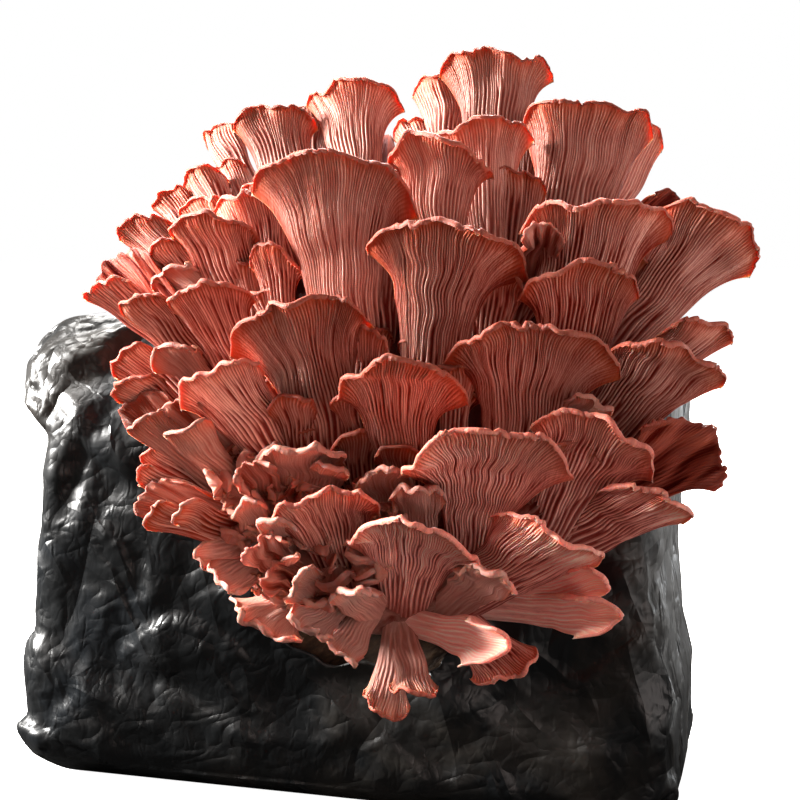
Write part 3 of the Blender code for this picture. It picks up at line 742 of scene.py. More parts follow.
    def _lip(self, placed: Array, facing: int) -> Array:
        """Rolls the rim's edge over towards the gills.

        Args:
            placed: The fan's points up to its rim.
            facing: 1 where the gills face the eye, or -1.

        Returns:
            The rows of points round the roll.
        """
        kind, edge = self.kind, placed[-1]
        outward = unit(edge - placed[-3])
        normal = unit(np.cross(np.gradient(edge, axis=0), outward))
        if np.einsum("ij,ij->i", normal, SHEET.eye * MM - edge).mean() * facing < 0:
            normal = -normal
        rough = 1 + sum(share * self._ripple(self.across, length) for length, share in kind.lip_bumps)
        radius = (kind.curl_radius + kind.away_curl * (facing < 0)) * MM * np.clip(rough, 0.4, 2.0)
        radius = radius * (0.5 + 0.5 * (1 - self.across**6)) * self.size**0.5
        turn = (kind.curl_turn * self.curl)[:, None, None]
        return edge + radius[None, :, None] * (np.sin(turn) * outward + (1 - np.cos(turn)) * normal)

    def _ridges(self) -> Array:
        """Raises the gills. New ones start between the old ones as the fan widens.

        Returns:
            Their height at each point, from 0 to 1.
        """
        u, per_gill = self.along, self.kind.columns_per_gill
        slot_width = 2 * self.half_length * self.kind.rim_arc * self._widening(u) / self.gills
        starts = np.array(GILL_STARTS)[np.arange(self.gills + 1) % GILL_ORDERS]
        starts = starts + self.rng.uniform(0.0, 0.3, self.gills + 1)
        strength = self.rng.uniform(0.6, 1.1, self.gills + 1)
        grown = smooth_step(starts, starts + 0.12, u) * strength
        columns = np.arange(len(self.across))
        nearest = np.round(columns / per_gill).astype(int)
        half_width = 0.26 + 0.25 * (1 - u)
        height = np.zeros((len(u), len(self.across)))
        for offset in range(-GILL_ORDERS, GILL_ORDERS + 1):
            gill = np.clip(nearest + offset, 0, self.gills)
            away = (columns / per_gill - gill) * slot_width
            height = np.maximum(height, grown[:, gill] * np.exp(-((away / half_width) ** 2)))
        fade = (0.15 + 0.85 * smooth_step(0.0, 0.36, u)) * (1 - 0.85 * smooth_step(0.94, 1.0, u))
        return height * fade * (1 - self.across**8)

    def _reach(self) -> Array:
        """Finds how far along each point is, for its colour.

        Returns:
            0 at the foot, 0.94 at the rim and 1 round its lip.
        """
        u = self.along
        bands = 0.82 * u + 0.12 * np.exp((u - 1) * self.length / 5.0) + 0.06 * self.curled
        # Along the fan's side edges the reach rises to the lip's colour: a painted rim light.
        from_side = (1 - np.abs(self.across)) * self.half_length * self._widening(u)
        return np.maximum(bands, 0.97 * np.exp(-((from_side / 0.55) ** 2)) * smooth_step(0.35, 0.7, u))

    def _sides(self, middle: Array, ridges: Array) -> tuple[Array, Array, Array]:
        """Lays out both sides of the flesh.

        Args:
            middle: The gill side without its gills.
            ridges: The gills' height, from 0 to 1.

        Returns:
            The gill side's points, the cap side's, and how high the cap side's ribs are, from 0 to 1, which
            sets the painted shade in their grooves.
        """
        kind, u = self.kind, self.along
        normal = unit(np.cross(np.gradient(middle, axis=1), np.gradient(middle, axis=0)))
        if np.einsum("ijk,ijk->ij", normal, SHEET.eye * MM - middle).mean() < 0:
            normal = -normal
        thick = kind.rim_thick + (1.3 * self.stem * self.half_length - kind.rim_thick) * (1 - u) ** 2
        thick = thick * (1 - 0.6 * smooth_step(0.9, 1.0, u)) * (1 - 0.3 * self.curled)
        skin = thick * np.sqrt(np.clip(1 - self.across**2, 0, 1))
        plane = np.stack(np.broadcast_arrays(u * self.length * 0.12, self.lateral), axis=-1)
        wrinkle = 0.45 * waves(self.rng, plane, 3.4) * smooth_step(0.2, 0.7, u)
        wrinkle = wrinkle * (1 - self.across**6) * (1 - 0.7 * smooth_step(0.95, 1.0, u))
        gills = ridges * kind.gill_height
        # The cap side's rib height sets the painted shade in its grooves: from the ribs where the gills face
        # away, and an even share from PLAIN_CAP elsewhere.
        if self.lobe.gills_away:
            ribs = (1.7 * wrinkle + 0.5 * ridges) * np.minimum(1, skin)
            gill_lift, cap_lift, cap_ridge = -(skin + gills), ribs, np.clip(0.5 + 1.1 * ribs, 0.0, 1.0)
        else:
            gill_lift, cap_lift = gills, -(skin + wrinkle * np.minimum(1, skin))
            cap_ridge = np.full_like(ridges, PLAIN_CAP)
        lifted = (middle + normal * (lift * MM)[..., None] for lift in (gill_lift, cap_lift))
        return *lifted, cap_ridge

    def build(self, buffer: MeshBuffer) -> None:
        """Adds the fan's closed shell to a buffer.

        Args:
            buffer: The piece that the fan belongs to.
        """
        middle = self._middle()
        ridges = self._ridges()
        gill_side, cap_side, cap_ridge = self._sides(middle, ridges)
        stride = self.kind.away_stride if self.lobe.gills_away else self.kind.cap_stride
        reach = self._reach()
        shown = 1 - (1 - ridges) * min(1.0, self.kind.gill_height)
        tone = np.full_like(reach, self.tone)
        gill_growth = np.stack([reach, shown, np.zeros_like(reach), tone], axis=-1)
        cap_growth = np.stack([reach, cap_ridge, np.ones_like(reach), tone], axis=-1)
        fibres = np.broadcast_arrays(self.along * self.length, self.lateral, self.tone * 500)
        fibres = np.stack(fibres, axis=-1)
        buffer.add(
            self._joined(gill_side, cap_side, stride), self._faces(*ridges.shape, stride),
            self._joined(gill_growth, cap_growth, stride), self._joined(fibres, fibres, stride),
        )

    @staticmethod
    def _joined(gill: Array, cap: Array, stride: int) -> Array:
        """The gill side's values, and then the cap side's without its first and last columns."""
        inner = cap[:, ::stride][:, 1:-1]
        return np.concatenate([side.reshape(-1, side.shape[-1]) for side in (gill, inner)])

    def _faces(self, rows: int, width: int, stride: int) -> Array:
        """Closes the shell. The cap side's first and last columns are the gill side's.

        Args:
            rows: How many rows each side has.
            width: How many columns the gill side has.
            stride: How many of them are one column on the cap side.

        Returns:
            Three point numbers for each triangle, for points in the order that _joined gives.
        """
        gill_at = np.arange(rows * width).reshape(rows, width)
        caps = (width - 1) // stride - 1
        inner = rows * width + np.arange(rows * caps).reshape(rows, caps)
        cap_at = np.concatenate([gill_at[:, :1], inner, gill_at[:, -1:]], axis=1)
        return np.concatenate([
            self._sheet_faces(gill_at), self._sheet_faces(cap_at)[:, ::-1],
            self._strip_faces(gill_at[-1], cap_at[-1], stride),
            self._strip_faces(gill_at[0], cap_at[0], stride)[:, ::-1],
        ])

    @staticmethod
    def _sheet_faces(at: Array) -> Array:
        """Two triangles for each cell of a grid of point numbers."""
        a, b, c, d = at[:-1, :-1], at[:-1, 1:], at[1:, 1:], at[1:, :-1]
        return np.concatenate([np.stack(cell, axis=-1).reshape(-1, 3) for cell in ([a, b, c], [a, c, d])])

    @staticmethod
    def _strip_faces(fine: Array, coarse: Array, stride: int) -> Array:
        """Closes the narrow strip between a fine edge and a coarse one.

        Args:
            fine: The fine edge's point numbers.
            coarse: The coarse edge's, one for each stride of the fine one's.
            stride: How many fine steps a coarse one has.

        Returns:
            Three point numbers for each triangle.
        """
        faces = []
        for j in range(len(coarse) - 1):
            start, middle = j * stride, j * stride + stride // 2
            for k in range(start, start + stride):
                faces.append((fine[k], coarse[j] if k < middle else coarse[j + 1], fine[k + 1]))
            faces.append((fine[middle], coarse[j], coarse[j + 1]))
        faces = np.array(faces)
        keep = (faces[:, 0] != faces[:, 1]) & (faces[:, 1] != faces[:, 2]) & (faces[:, 0] != faces[:, 2])
        return faces[keep]


class NodeGraph:
    """Lays out a material's nodes."""

    def __init__(self, name: str) -> None:
        """Makes a material with a Principled shader.

        Args:
            name: The material's name.
        """
        self.material = bpy.data.materials.new(name)
        self.material.use_nodes = True
        self.nodes = self.material.node_tree.nodes
        self.links = self.material.node_tree.links
        self.shader = self.nodes["Principled BSDF"]

    def set(self, name: str, value: float | tuple[float, ...]) -> None:
        """Sets a constant on the shader's own socket."""
        self.shader.inputs[name].default_value = value

    def link(self, source: Socket, target: Socket | str) -> None:
        """Links a socket to another, or to one of the shader's by name."""
        self.links.new(source, self.shader.inputs[target] if isinstance(target, str) else target)

    def feed(self, target: Socket, value: Socket | float | Colour) -> None:
        """Gives a node's socket a link, a number or a colour.

        Args:
            target: The node's socket.
            value: What it gets.
        """
        if isinstance(value, (int, float)):
            target.default_value = value
        elif isinstance(value, tuple):
            target.default_value = (*value, 1.0)
        else:
            self.links.new(value, target)

    def attribute(self, name: str) -> bpy.types.Node:
        """Adds a node that reads a mesh's layer.

        Args:
            name: The layer's name.

        Returns:
            The node.
        """
        node = self.nodes.new("ShaderNodeAttribute")
        node.attribute_name = name
        return node

    def separated(self, kind: str, source: Socket) -> bpy.types.Node:
        """Adds a node that takes a colour or a vector apart.

        Args:
            kind: "Color" or "XYZ".
            source: The colour or vector.

        Returns:
            The node.
        """
        node = self.nodes.new(f"ShaderNodeSeparate{kind}")
        self.link(source, node.inputs[0])
        return node

    def coordinates(self) -> Socket:
        """Object coordinates, in metres."""
        return self.nodes.new("ShaderNodeTexCoord").outputs["Object"]

    def mapping(self, source: Socket, kind: str, scale: Colour, turn: float = 0.0) -> Socket:
        """Stretches and turns coordinates.

        Args:
            source: The coordinates.
            kind: The order: POINT stretches first, and TEXTURE turns first and divides by the scale.
            scale: The scale along each axis.
            turn: The turn about Y, in radians.

        Returns:
            The new coordinates.
        """
        node = self.nodes.new("ShaderNodeMapping")
        node.vector_type = kind
        node.inputs["Scale"].default_value = scale
        node.inputs["Rotation"].default_value = (0.0, turn, 0.0)
        self.link(source, node.inputs["Vector"])
        return node.outputs["Vector"]

    def fibre_vector(self, scale: Colour) -> Socket:
        """The fibre coordinates, in millimetres along and across a fan, stretched."""
        return self.mapping(self.attribute("fibres").outputs["Vector"], "POINT", scale)

    def streaked(self, squeeze: float, turn: float) -> Socket:
        """Object coordinates turned in degrees and then drawn out, for streaky patterns."""
        scale = (1.0, 1.0, 1 / squeeze)
        return self.mapping(self.coordinates(), "TEXTURE", scale, math.radians(turn))

    def noise(self, scale: float, detail: float = 4.0, vector: Socket | None = None, rough: float = 0.5,
              distortion: float = 0.0) -> Socket:
        """Adds a noise texture.

        Args:
            scale: How fine it is.
            detail: How many finer octaves it has.
            vector: Its coordinates, or None for Object coordinates.
            rough: How strong the finer octaves are.
            distortion: How far it is warped.

        Returns:
            Its value, about 0 to 1 with a mean of 0.5.
        """
        node = self.nodes.new("ShaderNodeTexNoise")
        sizes = {"Scale": scale, "Detail": detail, "Roughness": rough, "Distortion": distortion}
        for name, value in sizes.items():
            node.inputs[name].default_value = value
        self.link(vector or self.coordinates(), node.inputs["Vector"])
        return node.outputs["Fac"]

    def math(self, kind: str, a: Socket | float, b: Socket | float = 0.0, c: Socket | float = 0.0,
             clamp: bool = False) -> Socket:
        """Adds a math node.

        Args:
            kind: The operation.
            a: Its first value.
            b: Its second value.
            c: Its third value.
            clamp: Whether the result is kept between 0 and 1.

        Returns:
            The result.
        """
        node = self.nodes.new("ShaderNodeMath")
        node.operation = kind
        node.use_clamp = clamp
        for socket, value in zip(node.inputs, (a, b, c)):
            self.feed(socket, value)
        return node.outputs[0]

    def swayed(self, base: Socket | float, noise: Socket, amount: float, clamp: bool = False) -> Socket:
        """A base value that a noise raises and lowers."""
        return self.math("MULTIPLY_ADD", self.math("SUBTRACT", noise, 0.5), amount, base, clamp)

    def ramp(self, factor: Socket, stops: list[tuple[float, Colour]]) -> Socket:
        """Adds a colour ramp.

        Args:
            factor: The value that it reads.
            stops: Places on the ramp and their colours, in order.

        Returns:
            The colour.
        """
        node = self.nodes.new("ShaderNodeValToRGB")
        elements = node.color_ramp.elements
        while len(elements) < len(stops):
            elements.new(0.5)
        for element, (position, colour) in zip(elements, stops):
            element.position = position
            element.color = (*colour, 1.0)
        self.link(factor, node.inputs["Fac"])
        return node.outputs["Color"]

    def mix(self, factor: Socket | float, a: Socket | Colour, b: Socket | Colour,
            blend: str = "MIX") -> Socket:
        """Adds a colour mix.

        Args:
            factor: How much of the second colour there is.
            a: The first colour.
            b: The second colour.
            blend: How the second colour is laid on.

        Returns:
            The colour.
        """
        node = self.nodes.new("ShaderNodeMix")
        node.data_type = "RGBA"
        node.blend_type = blend
        for socket, value in ((node.inputs["Factor"], factor), (node.inputs[6], a), (node.inputs[7], b)):
            self.feed(socket, value)
        return node.outputs[2]

    def painted_shade_over(self, colour: Socket, shade_colour: Colour, amount: Socket) -> Socket:
        """A colour darkened with painted shade by an amount."""
        return self.mix(amount, colour, self.mix(1.0, colour, shade_colour, "MULTIPLY"))

    def bump(self, height: Socket, strength: float, distance: float) -> None:
        """Raises the shader's normal by a height.

        Args:
            height: The height.
            strength: How much of it is used.
            distance: What a height of 1 stands for, in metres.
        """
        node = self.nodes.new("ShaderNodeBump")
        node.inputs["Strength"].default_value = strength
        node.inputs["Distance"].default_value = distance
        self.link(height, node.inputs["Height"])
        self.link(node.outputs["Normal"], "Normal")


@dataclass(frozen=True)
class FleshFinish:
    """Pink oyster flesh: pale where it leaves the base, coral towards the rim, with pale gills. Its colours
    carry painted light: a painted glow under the rim, a painted rim light round the lip, painted highlights
    on the gills' edges and painted shade in the grooves.

    Attributes:
        name: The material's name.
        foot: The colour at the foot.
        middle: The colour a third of the way up.
        upper: The colour under the rim's band: its own coral, brightened as a painted glow of light through
            the thin flesh.
        rim: The colour of that band: its own saturated coral, brightened into a painted glow of light through
            the thin rim.
        lip: The colour round the lip, also laid along the fan's side edges: partly its own pale edge, partly
            a painted rim light.
        cap: The cap side's colour between its streaks.
        groove_shade: The painted shade laid into the grooves between gills and between ribs.
        crest: The gills' edges: their own lighter colour with a painted highlight.
        crest_share: How much of the crest's colour they have.
        roughness: The shader's roughness.
        specular: Its specular level.
    """

    name: str
    foot: Colour = (0.72, 0.36, 0.29)
    middle: Colour = (0.63, 0.20, 0.145)
    upper: Colour = (0.70, 0.155, 0.095)
    rim: Colour = (0.90, 0.235, 0.125)
    lip: Colour = (0.78, 0.30, 0.205)
    cap: Colour = (0.48, 0.14, 0.105)
    groove_shade: Colour = (0.28, 0.08, 0.065)
    crest: Colour = (0.95, 0.68, 0.59)
    crest_share: float = 0.74
    roughness: float = 0.52
    specular: float = 0.2

    def make(self) -> bpy.types.Material:
        """Builds the material.

        Returns:
            The material, for meshes that carry growth and fibres.
        """
        graph = NodeGraph(self.name)
        growth = graph.attribute("growth")
        split = graph.separated("Color", growth.outputs["Color"])
        reach, ridge, cap = (split.outputs[name] for name in ("Red", "Green", "Blue"))
        streak = graph.noise(1.5, 4.0, graph.fibre_vector((0.09, 1.0, 1.0)), 0.6)
        strand = graph.noise(3.6, 2.0, graph.fibre_vector((0.12, 1.0, 1.0)), 0.5)
        gilled = self._gilled(graph, reach, graph.swayed(ridge, streak, 0.6), streak, strand)
        # The tone sets the value: partly each fan's own tone, partly painted light and shade set per fan;
        # darker tones are also more saturated, as shade is.
        tone_and_painted_light = graph.nodes.new("ShaderNodeHueSaturation")
        graph.link(graph.mix(cap, gilled, self._capped(graph, reach, ridge, streak)), tone_and_painted_light.inputs["Color"])
        graph.link(graph.math("MULTIPLY_ADD", growth.outputs["Alpha"], 0.35, 0.75), tone_and_painted_light.inputs["Value"])
        shade_saturation = graph.math("MULTIPLY_ADD", growth.outputs["Alpha"], -0.05, 1.06)
        graph.link(graph.math("MINIMUM", shade_saturation, 1.15), tone_and_painted_light.inputs["Saturation"])
        graph.link(tone_and_painted_light.outputs["Color"], "Base Color")
        graph.set("Roughness", self.roughness)
        graph.set("Specular IOR Level", self.specular)
        thin = graph.math("MULTIPLY", graph.math("POWER", reach, 6.0), 0.6, clamp=True)
        graph.link(graph.math("ADD", thin, 0.12), "Subsurface Weight")
        graph.set("Subsurface Radius", (1.0, 0.33, 0.2))
        graph.set("Subsurface Scale", 0.0014)
        grain = graph.math("MULTIPLY_ADD", strand, 0.5, graph.math("MULTIPLY", streak, 0.9))
        pores = graph.noise(700.0, 4.0, None, 0.6)
        graph.bump(graph.math("MULTIPLY_ADD", pores, 0.45, grain), 0.7, 0.0007)
        return graph.material

    def _gilled(self, graph: NodeGraph, reach: Socket, ridge: Socket, streak: Socket,
                strand: Socket) -> Socket:
        """Colours the gill side, with painted highlights on the gills' edges and painted shade in the grooves
        between them.

        Args:
            graph: The material's nodes.
            reach: How far along the fan a point is.
            ridge: How high its gill is, with streaks.
            streak: The broad streaks along the fan.
            strand: The fine ones.

        Returns:
            The colour.
        """
        shifted = graph.swayed(graph.swayed(reach, graph.noise(60.0, 3.0), 0.16), streak, 0.08)
        # The rim's band and the colour under it carry a painted glow, and the lip a painted rim light.
        body = graph.ramp(
            shifted,
            [(0.0, self.foot), (0.35, self.middle), (0.70, self.upper), (0.81, self.rim), (0.935, self.rim),
             (0.965, self.lip)],
        )
        # Painted highlight on the gills' edges and painted shade in the grooves between them, both giving way
        # under the rim.
        fibrous = graph.swayed(ridge, strand, 0.35, clamp=True)
        under_rim = graph.math("SUBTRACT", 1.0, graph.math("POWER", reach, 10.0), clamp=True)
        groove_shade_mask = graph.math("MULTIPLY", graph.math("SUBTRACT", 1.0, fibrous), under_rim)
        crest_highlight_mask = graph.math("MULTIPLY", graph.math("POWER", fibrous, 1.6), under_rim)
        dark = graph.painted_shade_over(body, self.groove_shade, groove_shade_mask)
        return graph.mix(graph.math("MULTIPLY", crest_highlight_mask, self.crest_share), dark, self.crest)

    def _capped(self, graph: NodeGraph, reach: Socket, ridge: Socket, streak: Socket) -> Socket:
        """Colours the cap side: its ramp shares the rim's painted glow and the lip's painted rim light, and
        painted shade lies in the grooves between its ribs.

        Args:
            graph: The material's nodes.
            reach: How far along the fan a point is.
            ridge: How high its rib is.
            streak: The broad streaks along the fan.

        Returns:
            The colour.
        """
        tint = graph.math("MULTIPLY", graph.math("SUBTRACT", streak, 0.35), 1.6, clamp=True)
        body = graph.ramp(reach, [(0.0, self.foot), (0.55, self.upper), (0.9, self.rim), (1.0, self.lip)])
        # Painted shade in the grooves between the ribs.
        rib_groove_shade = graph.math("MULTIPLY", graph.math("SUBTRACT", 1.0, ridge), 1.2, clamp=True)
        return graph.painted_shade_over(graph.mix(tint, self.cap, body), self.groove_shade, rib_groove_shade)


@dataclass(frozen=True)
class FilmFinish:
    """Glossy black film with patches of colour in its creases, partly dusty and partly a painted sheen of
    reflected light, brown in places and blue in others.

    Attributes:
        name: The material's name.
        black: The clean film's colour.
        blue: The patches' colour in some places: a painted blue reflection.
        brown: Their colour in others: a dusty brown with a painted sheen.
        specular: The shader's specular level.
        taut_from: The height above which the film is tauter and glossier, in metres.
        creases: The fine creases' scales, how far they are drawn out, their turn in degrees and their height.
    """

    name: str = "crinkled_black_film"
    black: Colour = (0.0025, 0.003, 0.0035)
    blue: Colour = (0.012, 0.022, 0.034)
    brown: Colour = (0.058, 0.047, 0.036)
    specular: float = 0.45
    taut_from: float = 0.13
    creases: tuple[tuple[float, float, float, float], ...] = (
        (11.0, 0.5, -50.0, -0.022), (22.0, 0.6, 35.0, 0.013), (44.0, 0.45, -30.0, -0.0065),
        (95.0, 0.6, 60.0, 0.0024), (210.0, 0.6, 10.0, 0.0008),
    )

    def make(self) -> bpy.types.Material:
        """Builds the material.

        Returns:
            The material, for the film at its own place.
        """
        graph = NodeGraph(self.name)
        # The colour patches are partly dusty film and partly painted sheen and reflection; the same noise
        # also sets the roughness.
        dust_and_sheen = graph.noise(16.0, 6.0, None, 0.6, 0.8)
        streak = graph.noise(11.0, 5.0, graph.streaked(0.3, 40.0), 0.6)
        streaks = graph.math("MULTIPLY", streak, 3.0)
        sheen_and_dust_patches = graph.math("MULTIPLY", graph.math("SUBTRACT", dust_and_sheen, 0.5, clamp=True), streaks, clamp=True)
        tint = graph.ramp(graph.noise(7.0, 2.0), [(0.42, self.blue), (0.58, self.brown)])
        graph.link(graph.mix(sheen_and_dust_patches, self.black, tint), "Base Color")
        height = graph.separated("XYZ", graph.coordinates()).outputs["Z"]
        taut = graph.math("MULTIPLY", graph.math("SUBTRACT", height, self.taut_from), 12.0, clamp=True)
        rough = graph.math("MULTIPLY_ADD", dust_and_sheen, 0.34, 0.20)
        graph.link(graph.math("MULTIPLY_ADD", taut, -0.13, rough), "Roughness")
        graph.set("Specular IOR Level", self.specular)
        folded: Socket | float = 0.0
        for scale, squeeze, turn, amount in self.creases:
            wander = graph.noise(scale, 1.5, graph.streaked(squeeze, turn), 0.4, 0.5)
            crease = graph.math("ABSOLUTE", graph.math("SUBTRACT", wander, 0.5))
            folded = graph.math("MULTIPLY_ADD", crease, amount, folded)
        graph.bump(folded, 1.0, 1.0)
        return graph.material


@dataclass(frozen=True)
class SubstrateFinish:
    """Moist brown sawdust and straw.

    Attributes:
        name: The material's name.
        stops: The colours from the damp sawdust to the straw, and their places on the ramp.
        roughness: The shader's roughness.
    """

    name: str = "packed_substrate"
    stops: tuple[tuple[float, Colour], ...] = (
        (0.3, (0.018, 0.010, 0.006)), (0.55, (0.085, 0.045, 0.024)), (0.8, (0.24, 0.15, 0.085)),
    )
    roughness: float = 0.85

    def make(self) -> bpy.types.Material:
        """Builds the material.

        Returns:
            The material, for the block at its own place.
        """
        graph = NodeGraph(self.name)
        fibre = graph.noise(380.0, 6.0, graph.streaked(0.3, 50.0), 0.65)
        graph.link(graph.ramp(fibre, list(self.stops)), "Base Color")
        graph.set("Roughness", self.roughness)
        graph.bump(fibre, 0.9, 0.002)
        return graph.material


def dress(piece: bpy.types.Object, material: bpy.types.Material, slot: Slot, *nodes: str) -> None:
    """Gives a piece its finish, its body and the nodes that it stands for.

    Args:
        piece: The finished piece.
        material: Its finish.
        slot: The record's slot for that finish; not used.
        nodes: The CAD nodes that it replaces.
    """
    piece.data.materials.clear()
    piece.data.materials.append(material)
    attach(piece, "root")
    if nodes:
        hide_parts(*nodes)
    LOG.info("%s: %d faces", piece.name, len(piece.data.polygons))


@dataclass
class Cluster:
    """The flush of mushrooms and the base that they share.

    Attributes:
        seed: Where the random draws start.
        small_caps: How many small curled caps are tried at the lower left.
        crowd_step: The distance between the small fans in the gaps, in millimetres.
        rear_steps: The distances between the rear's small caps, across and up.
        base_sink: How far the fused stems keep behind the egg that the feet stand on.
        base_painted_shade: The painted shade on their upper part, as a tone.
        low_painted_light: How much painted light makes the lowest mushrooms lighter.
        crown_heights: Where a mushroom begins to count as part of the crown, and where it does in full; the
            crown gets painted shade and lower gills.
        flesh: The finish of full-grown mushrooms.
        young_flesh: The finish of young ones, and of the pale caps at the lower left.
        pale_mushrooms: The mushrooms that have the young finish.
        painted_shade_funnel: The mushroom whose inside is seen and is darkened with painted shade.
        painted_light_mushrooms: Mushrooms made lighter than the rest with painted light.
        painted_shade_mushrooms: Mushrooms made darker with painted shade.
        deep_painted_shade_mushrooms: Mushrooms made much darker with painted shade.
        smooth_mushrooms: Mushrooms with low gills.
    """

    seed: int = 40
    small_caps: int = 70
    crowd_step: float = 15.0
    rear_steps: tuple[float, float] = (15.0, 11.0)
    base_sink: float = 2.5
    base_painted_shade: float = -1.5
    low_painted_light: float = 1.5
    crown_heights: tuple[float, float] = (60.0, 90.0)
    flesh: FleshFinish = FleshFinish("coral_gilled_flesh")
    # The young finish is lighter, with a lighter painted shade in its grooves.
    young_flesh: FleshFinish = FleshFinish(
        "pale_young_flesh", cap=(0.70, 0.38, 0.32), upper=(0.62, 0.21, 0.155), lip=(0.74, 0.33, 0.25),
        groove_shade=(0.55, 0.27, 0.22),
    )
    pale_mushrooms: tuple[str, ...] = ("twisted_leaf", "left_lip", "left_bowl", "left_low")
    painted_shade_funnel: str = "right_funnel"
    painted_light_mushrooms: tuple[str, ...] = (
        "front_right", "low_boat", "right_fan", "front_low", "right_funnel", "front_great", "low_front",
        "left_second", "left_inner", "left_wing", "left_middle",
    )
    painted_shade_mushrooms: tuple[str, ...] = (
        "crown_peak", "crown_right", "shoulder_left", "round_centre", "great_right", "great_low_left",
        "great_centre",
    )
    deep_painted_shade_mushrooms: tuple[str, ...] = ("hanging", "crown_shadow")
    smooth_mushrooms: tuple[str, ...] = ("hanging", "left_lip", "left_bowl", "low_boat", "low_front")

    def build(self) -> None:
        """Builds every mushroom and the base."""
        flesh, young = self.flesh.make(), self.young_flesh.make()
        for number, (node, lobes) in enumerate(MUSHROOMS.items()):
            rng = np.random.default_rng(self.seed + number)
            name = node.removeprefix("mushroom_")
            buffer = MeshBuffer()
            for lobe in lobes:
                self._full_grown(name, lobe, rng).build(buffer)
            piece = buffer.to_object(f"fan_{name}")
            dress(piece, young if name in self.pale_mushrooms else flesh, Slot.CORAL, node)
        rng = np.random.default_rng(self.seed)
        self._build_base(flesh, rng)
        self._small_fans("young_fans", YOUNG_MUSHROOMS, YOUNG, young, rng, "cluster_base")
        self._small_fans("hidden_fans", HIDDEN_MUSHROOMS, HIDDEN, flesh, rng)
        self._small_fans("crowding_fans", self._crowding_fans(rng), CROWDING, flesh, rng)
        self._small_fans("rear_caps", self._rear_caps(rng), REAR, flesh, rng)
        self._small_fans("crumpled_caps", self._crumpled_caps(rng), CRUMPLED, young, rng)

    def _full_grown(self, name: str, lobe: Lobe, rng: np.random.Generator) -> FanSurface:
        """Sets one fan's tone, with its painted light and shade, and how high its gills are.

        Args:
            name: The mushroom's name.
            lobe: Where the fan is drawn.
            rng: The source of its irregularities.

        Returns:
            The fan, ready to be built.
        """
        across, up = lobe.top
        crown = smooth_step(*self.crown_heights, up)
        # Painted light on the lowest fans and the listed lighter ones; painted shade on the listed darker
        # ones, the funnel's inside and the crown. The pale mushrooms on the left are darker.
        painted_lift = self.low_painted_light * smooth_step(0.0, 60.0, -up) * (1 - 0.6 * smooth_step(30.0, 60.0, -across))
        change = 0.9 * (name in self.painted_light_mushrooms) - 0.6 * (name in self.painted_shade_mushrooms)
        change -= 1.2 * (lobe.gills_away and name == self.painted_shade_funnel)
        change -= 1.1 * (name in self.pale_mushrooms and lobe.left[0] < 0)
        change -= 0.3 * crown + 1.5 * (name in self.deep_painted_shade_mushrooms)
        kind = replace(
            FULL_GROWN, gill_height=0.5 if name in self.smooth_mushrooms else 1.05 - 0.25 * crown,
            columns_per_gill=3 if name.startswith("back") else 4,
        )
        return FanSurface(lobe, rng, kind.tone(lobe, rng) + painted_lift + change, kind)

    def _small_fans(self, name: str, lobes: list[Lobe], kind: FanKind, material: bpy.types.Material,
                    rng: np.random.Generator, *nodes: str) -> None:
        """Builds small fans as one piece.

        Args:
            name: The piece's name.
            lobes: Where the fans are.
            kind: How they grow.
            material: Their finish.
            rng: The source of their irregularities.
            nodes: The CAD nodes that the piece replaces.
        """
        buffer = MeshBuffer()
        for lobe in lobes:
            FanSurface(lobe, rng, kind.tone(lobe, rng), kind).build(buffer)
        dress(buffer.to_object(name), material, Slot.CORAL, *nodes)

    def _build_base(self, material: bpy.types.Material, rng: np.random.Generator) -> None:
        """Builds the lump of fused stems.

        Args:
            material: Its finish.
            rng: The source of its irregularities.
        """
        bpy.ops.object.select_all(action="DESELECT")
        bpy.ops.mesh.primitive_ico_sphere_add(subdivisions=6, radius=1.0)
        base = bpy.context.object
        base.name = "fused_stems"
        points = read_vectors(base.data, "co")
        low = -points[:, 2]
        angle = np.arctan2(points[:, 2] + 0.9, points[:, 0])
        ribs = np.abs(np.sin(angle * 26 + 1.5 * waves(rng, points, 0.5)))
        swell = 1 + 0.03 * waves(rng, points, 0.35) + 0.022 * ribs
        sink = self.base_sink * (1 + 2 * smooth_step(0.3, 0.7, low))
        placed = SHEET.place(
            BASE.centre[0] + points[:, 0] * BASE.radii[0] * swell,
            BASE.centre[1] + points[:, 2] * BASE.radii[1] * swell,
            BASE.back + points[:, 1] * (BASE.bulge - sink) * swell,
        )
        move_points(base.data, placed)
        # Painted shade on the upper part of the fused stems: the darker upper colour, full painted shade in
        # the ribs' grooves and a dark tone.
        shade = self.base_painted_shade * (1 - smooth_step(0.3, 0.6, low))
        growth = [0.3 - 0.26 * shade, ribs * (0.7 + 0.5 * shade), np.zeros(len(points)), shade]
        Layer.GROWTH.add(base.data, np.stack(growth, axis=-1))
        Layer.FIBRES.add(base.data, np.stack([placed[:, 2] / MM, angle * 40, points[:, 1]], axis=-1))
        bpy.ops.object.shade_smooth()
        dress(base, material, Slot.PALE, "cluster_base")

    @staticmethod
    def _lobe(foot: Array, top: Array, axis: Array, half: float, hang: float, *rest: float) -> Lobe:
        """Draws a lobe from its foot, its top, its direction, its half width and how far its corners hang."""
        side, low = np.array([axis[1], -axis[0]]) * half, top - axis * hang
        return Lobe(tuple(low - side), tuple(top), tuple(low + side), tuple(foot), *rest)

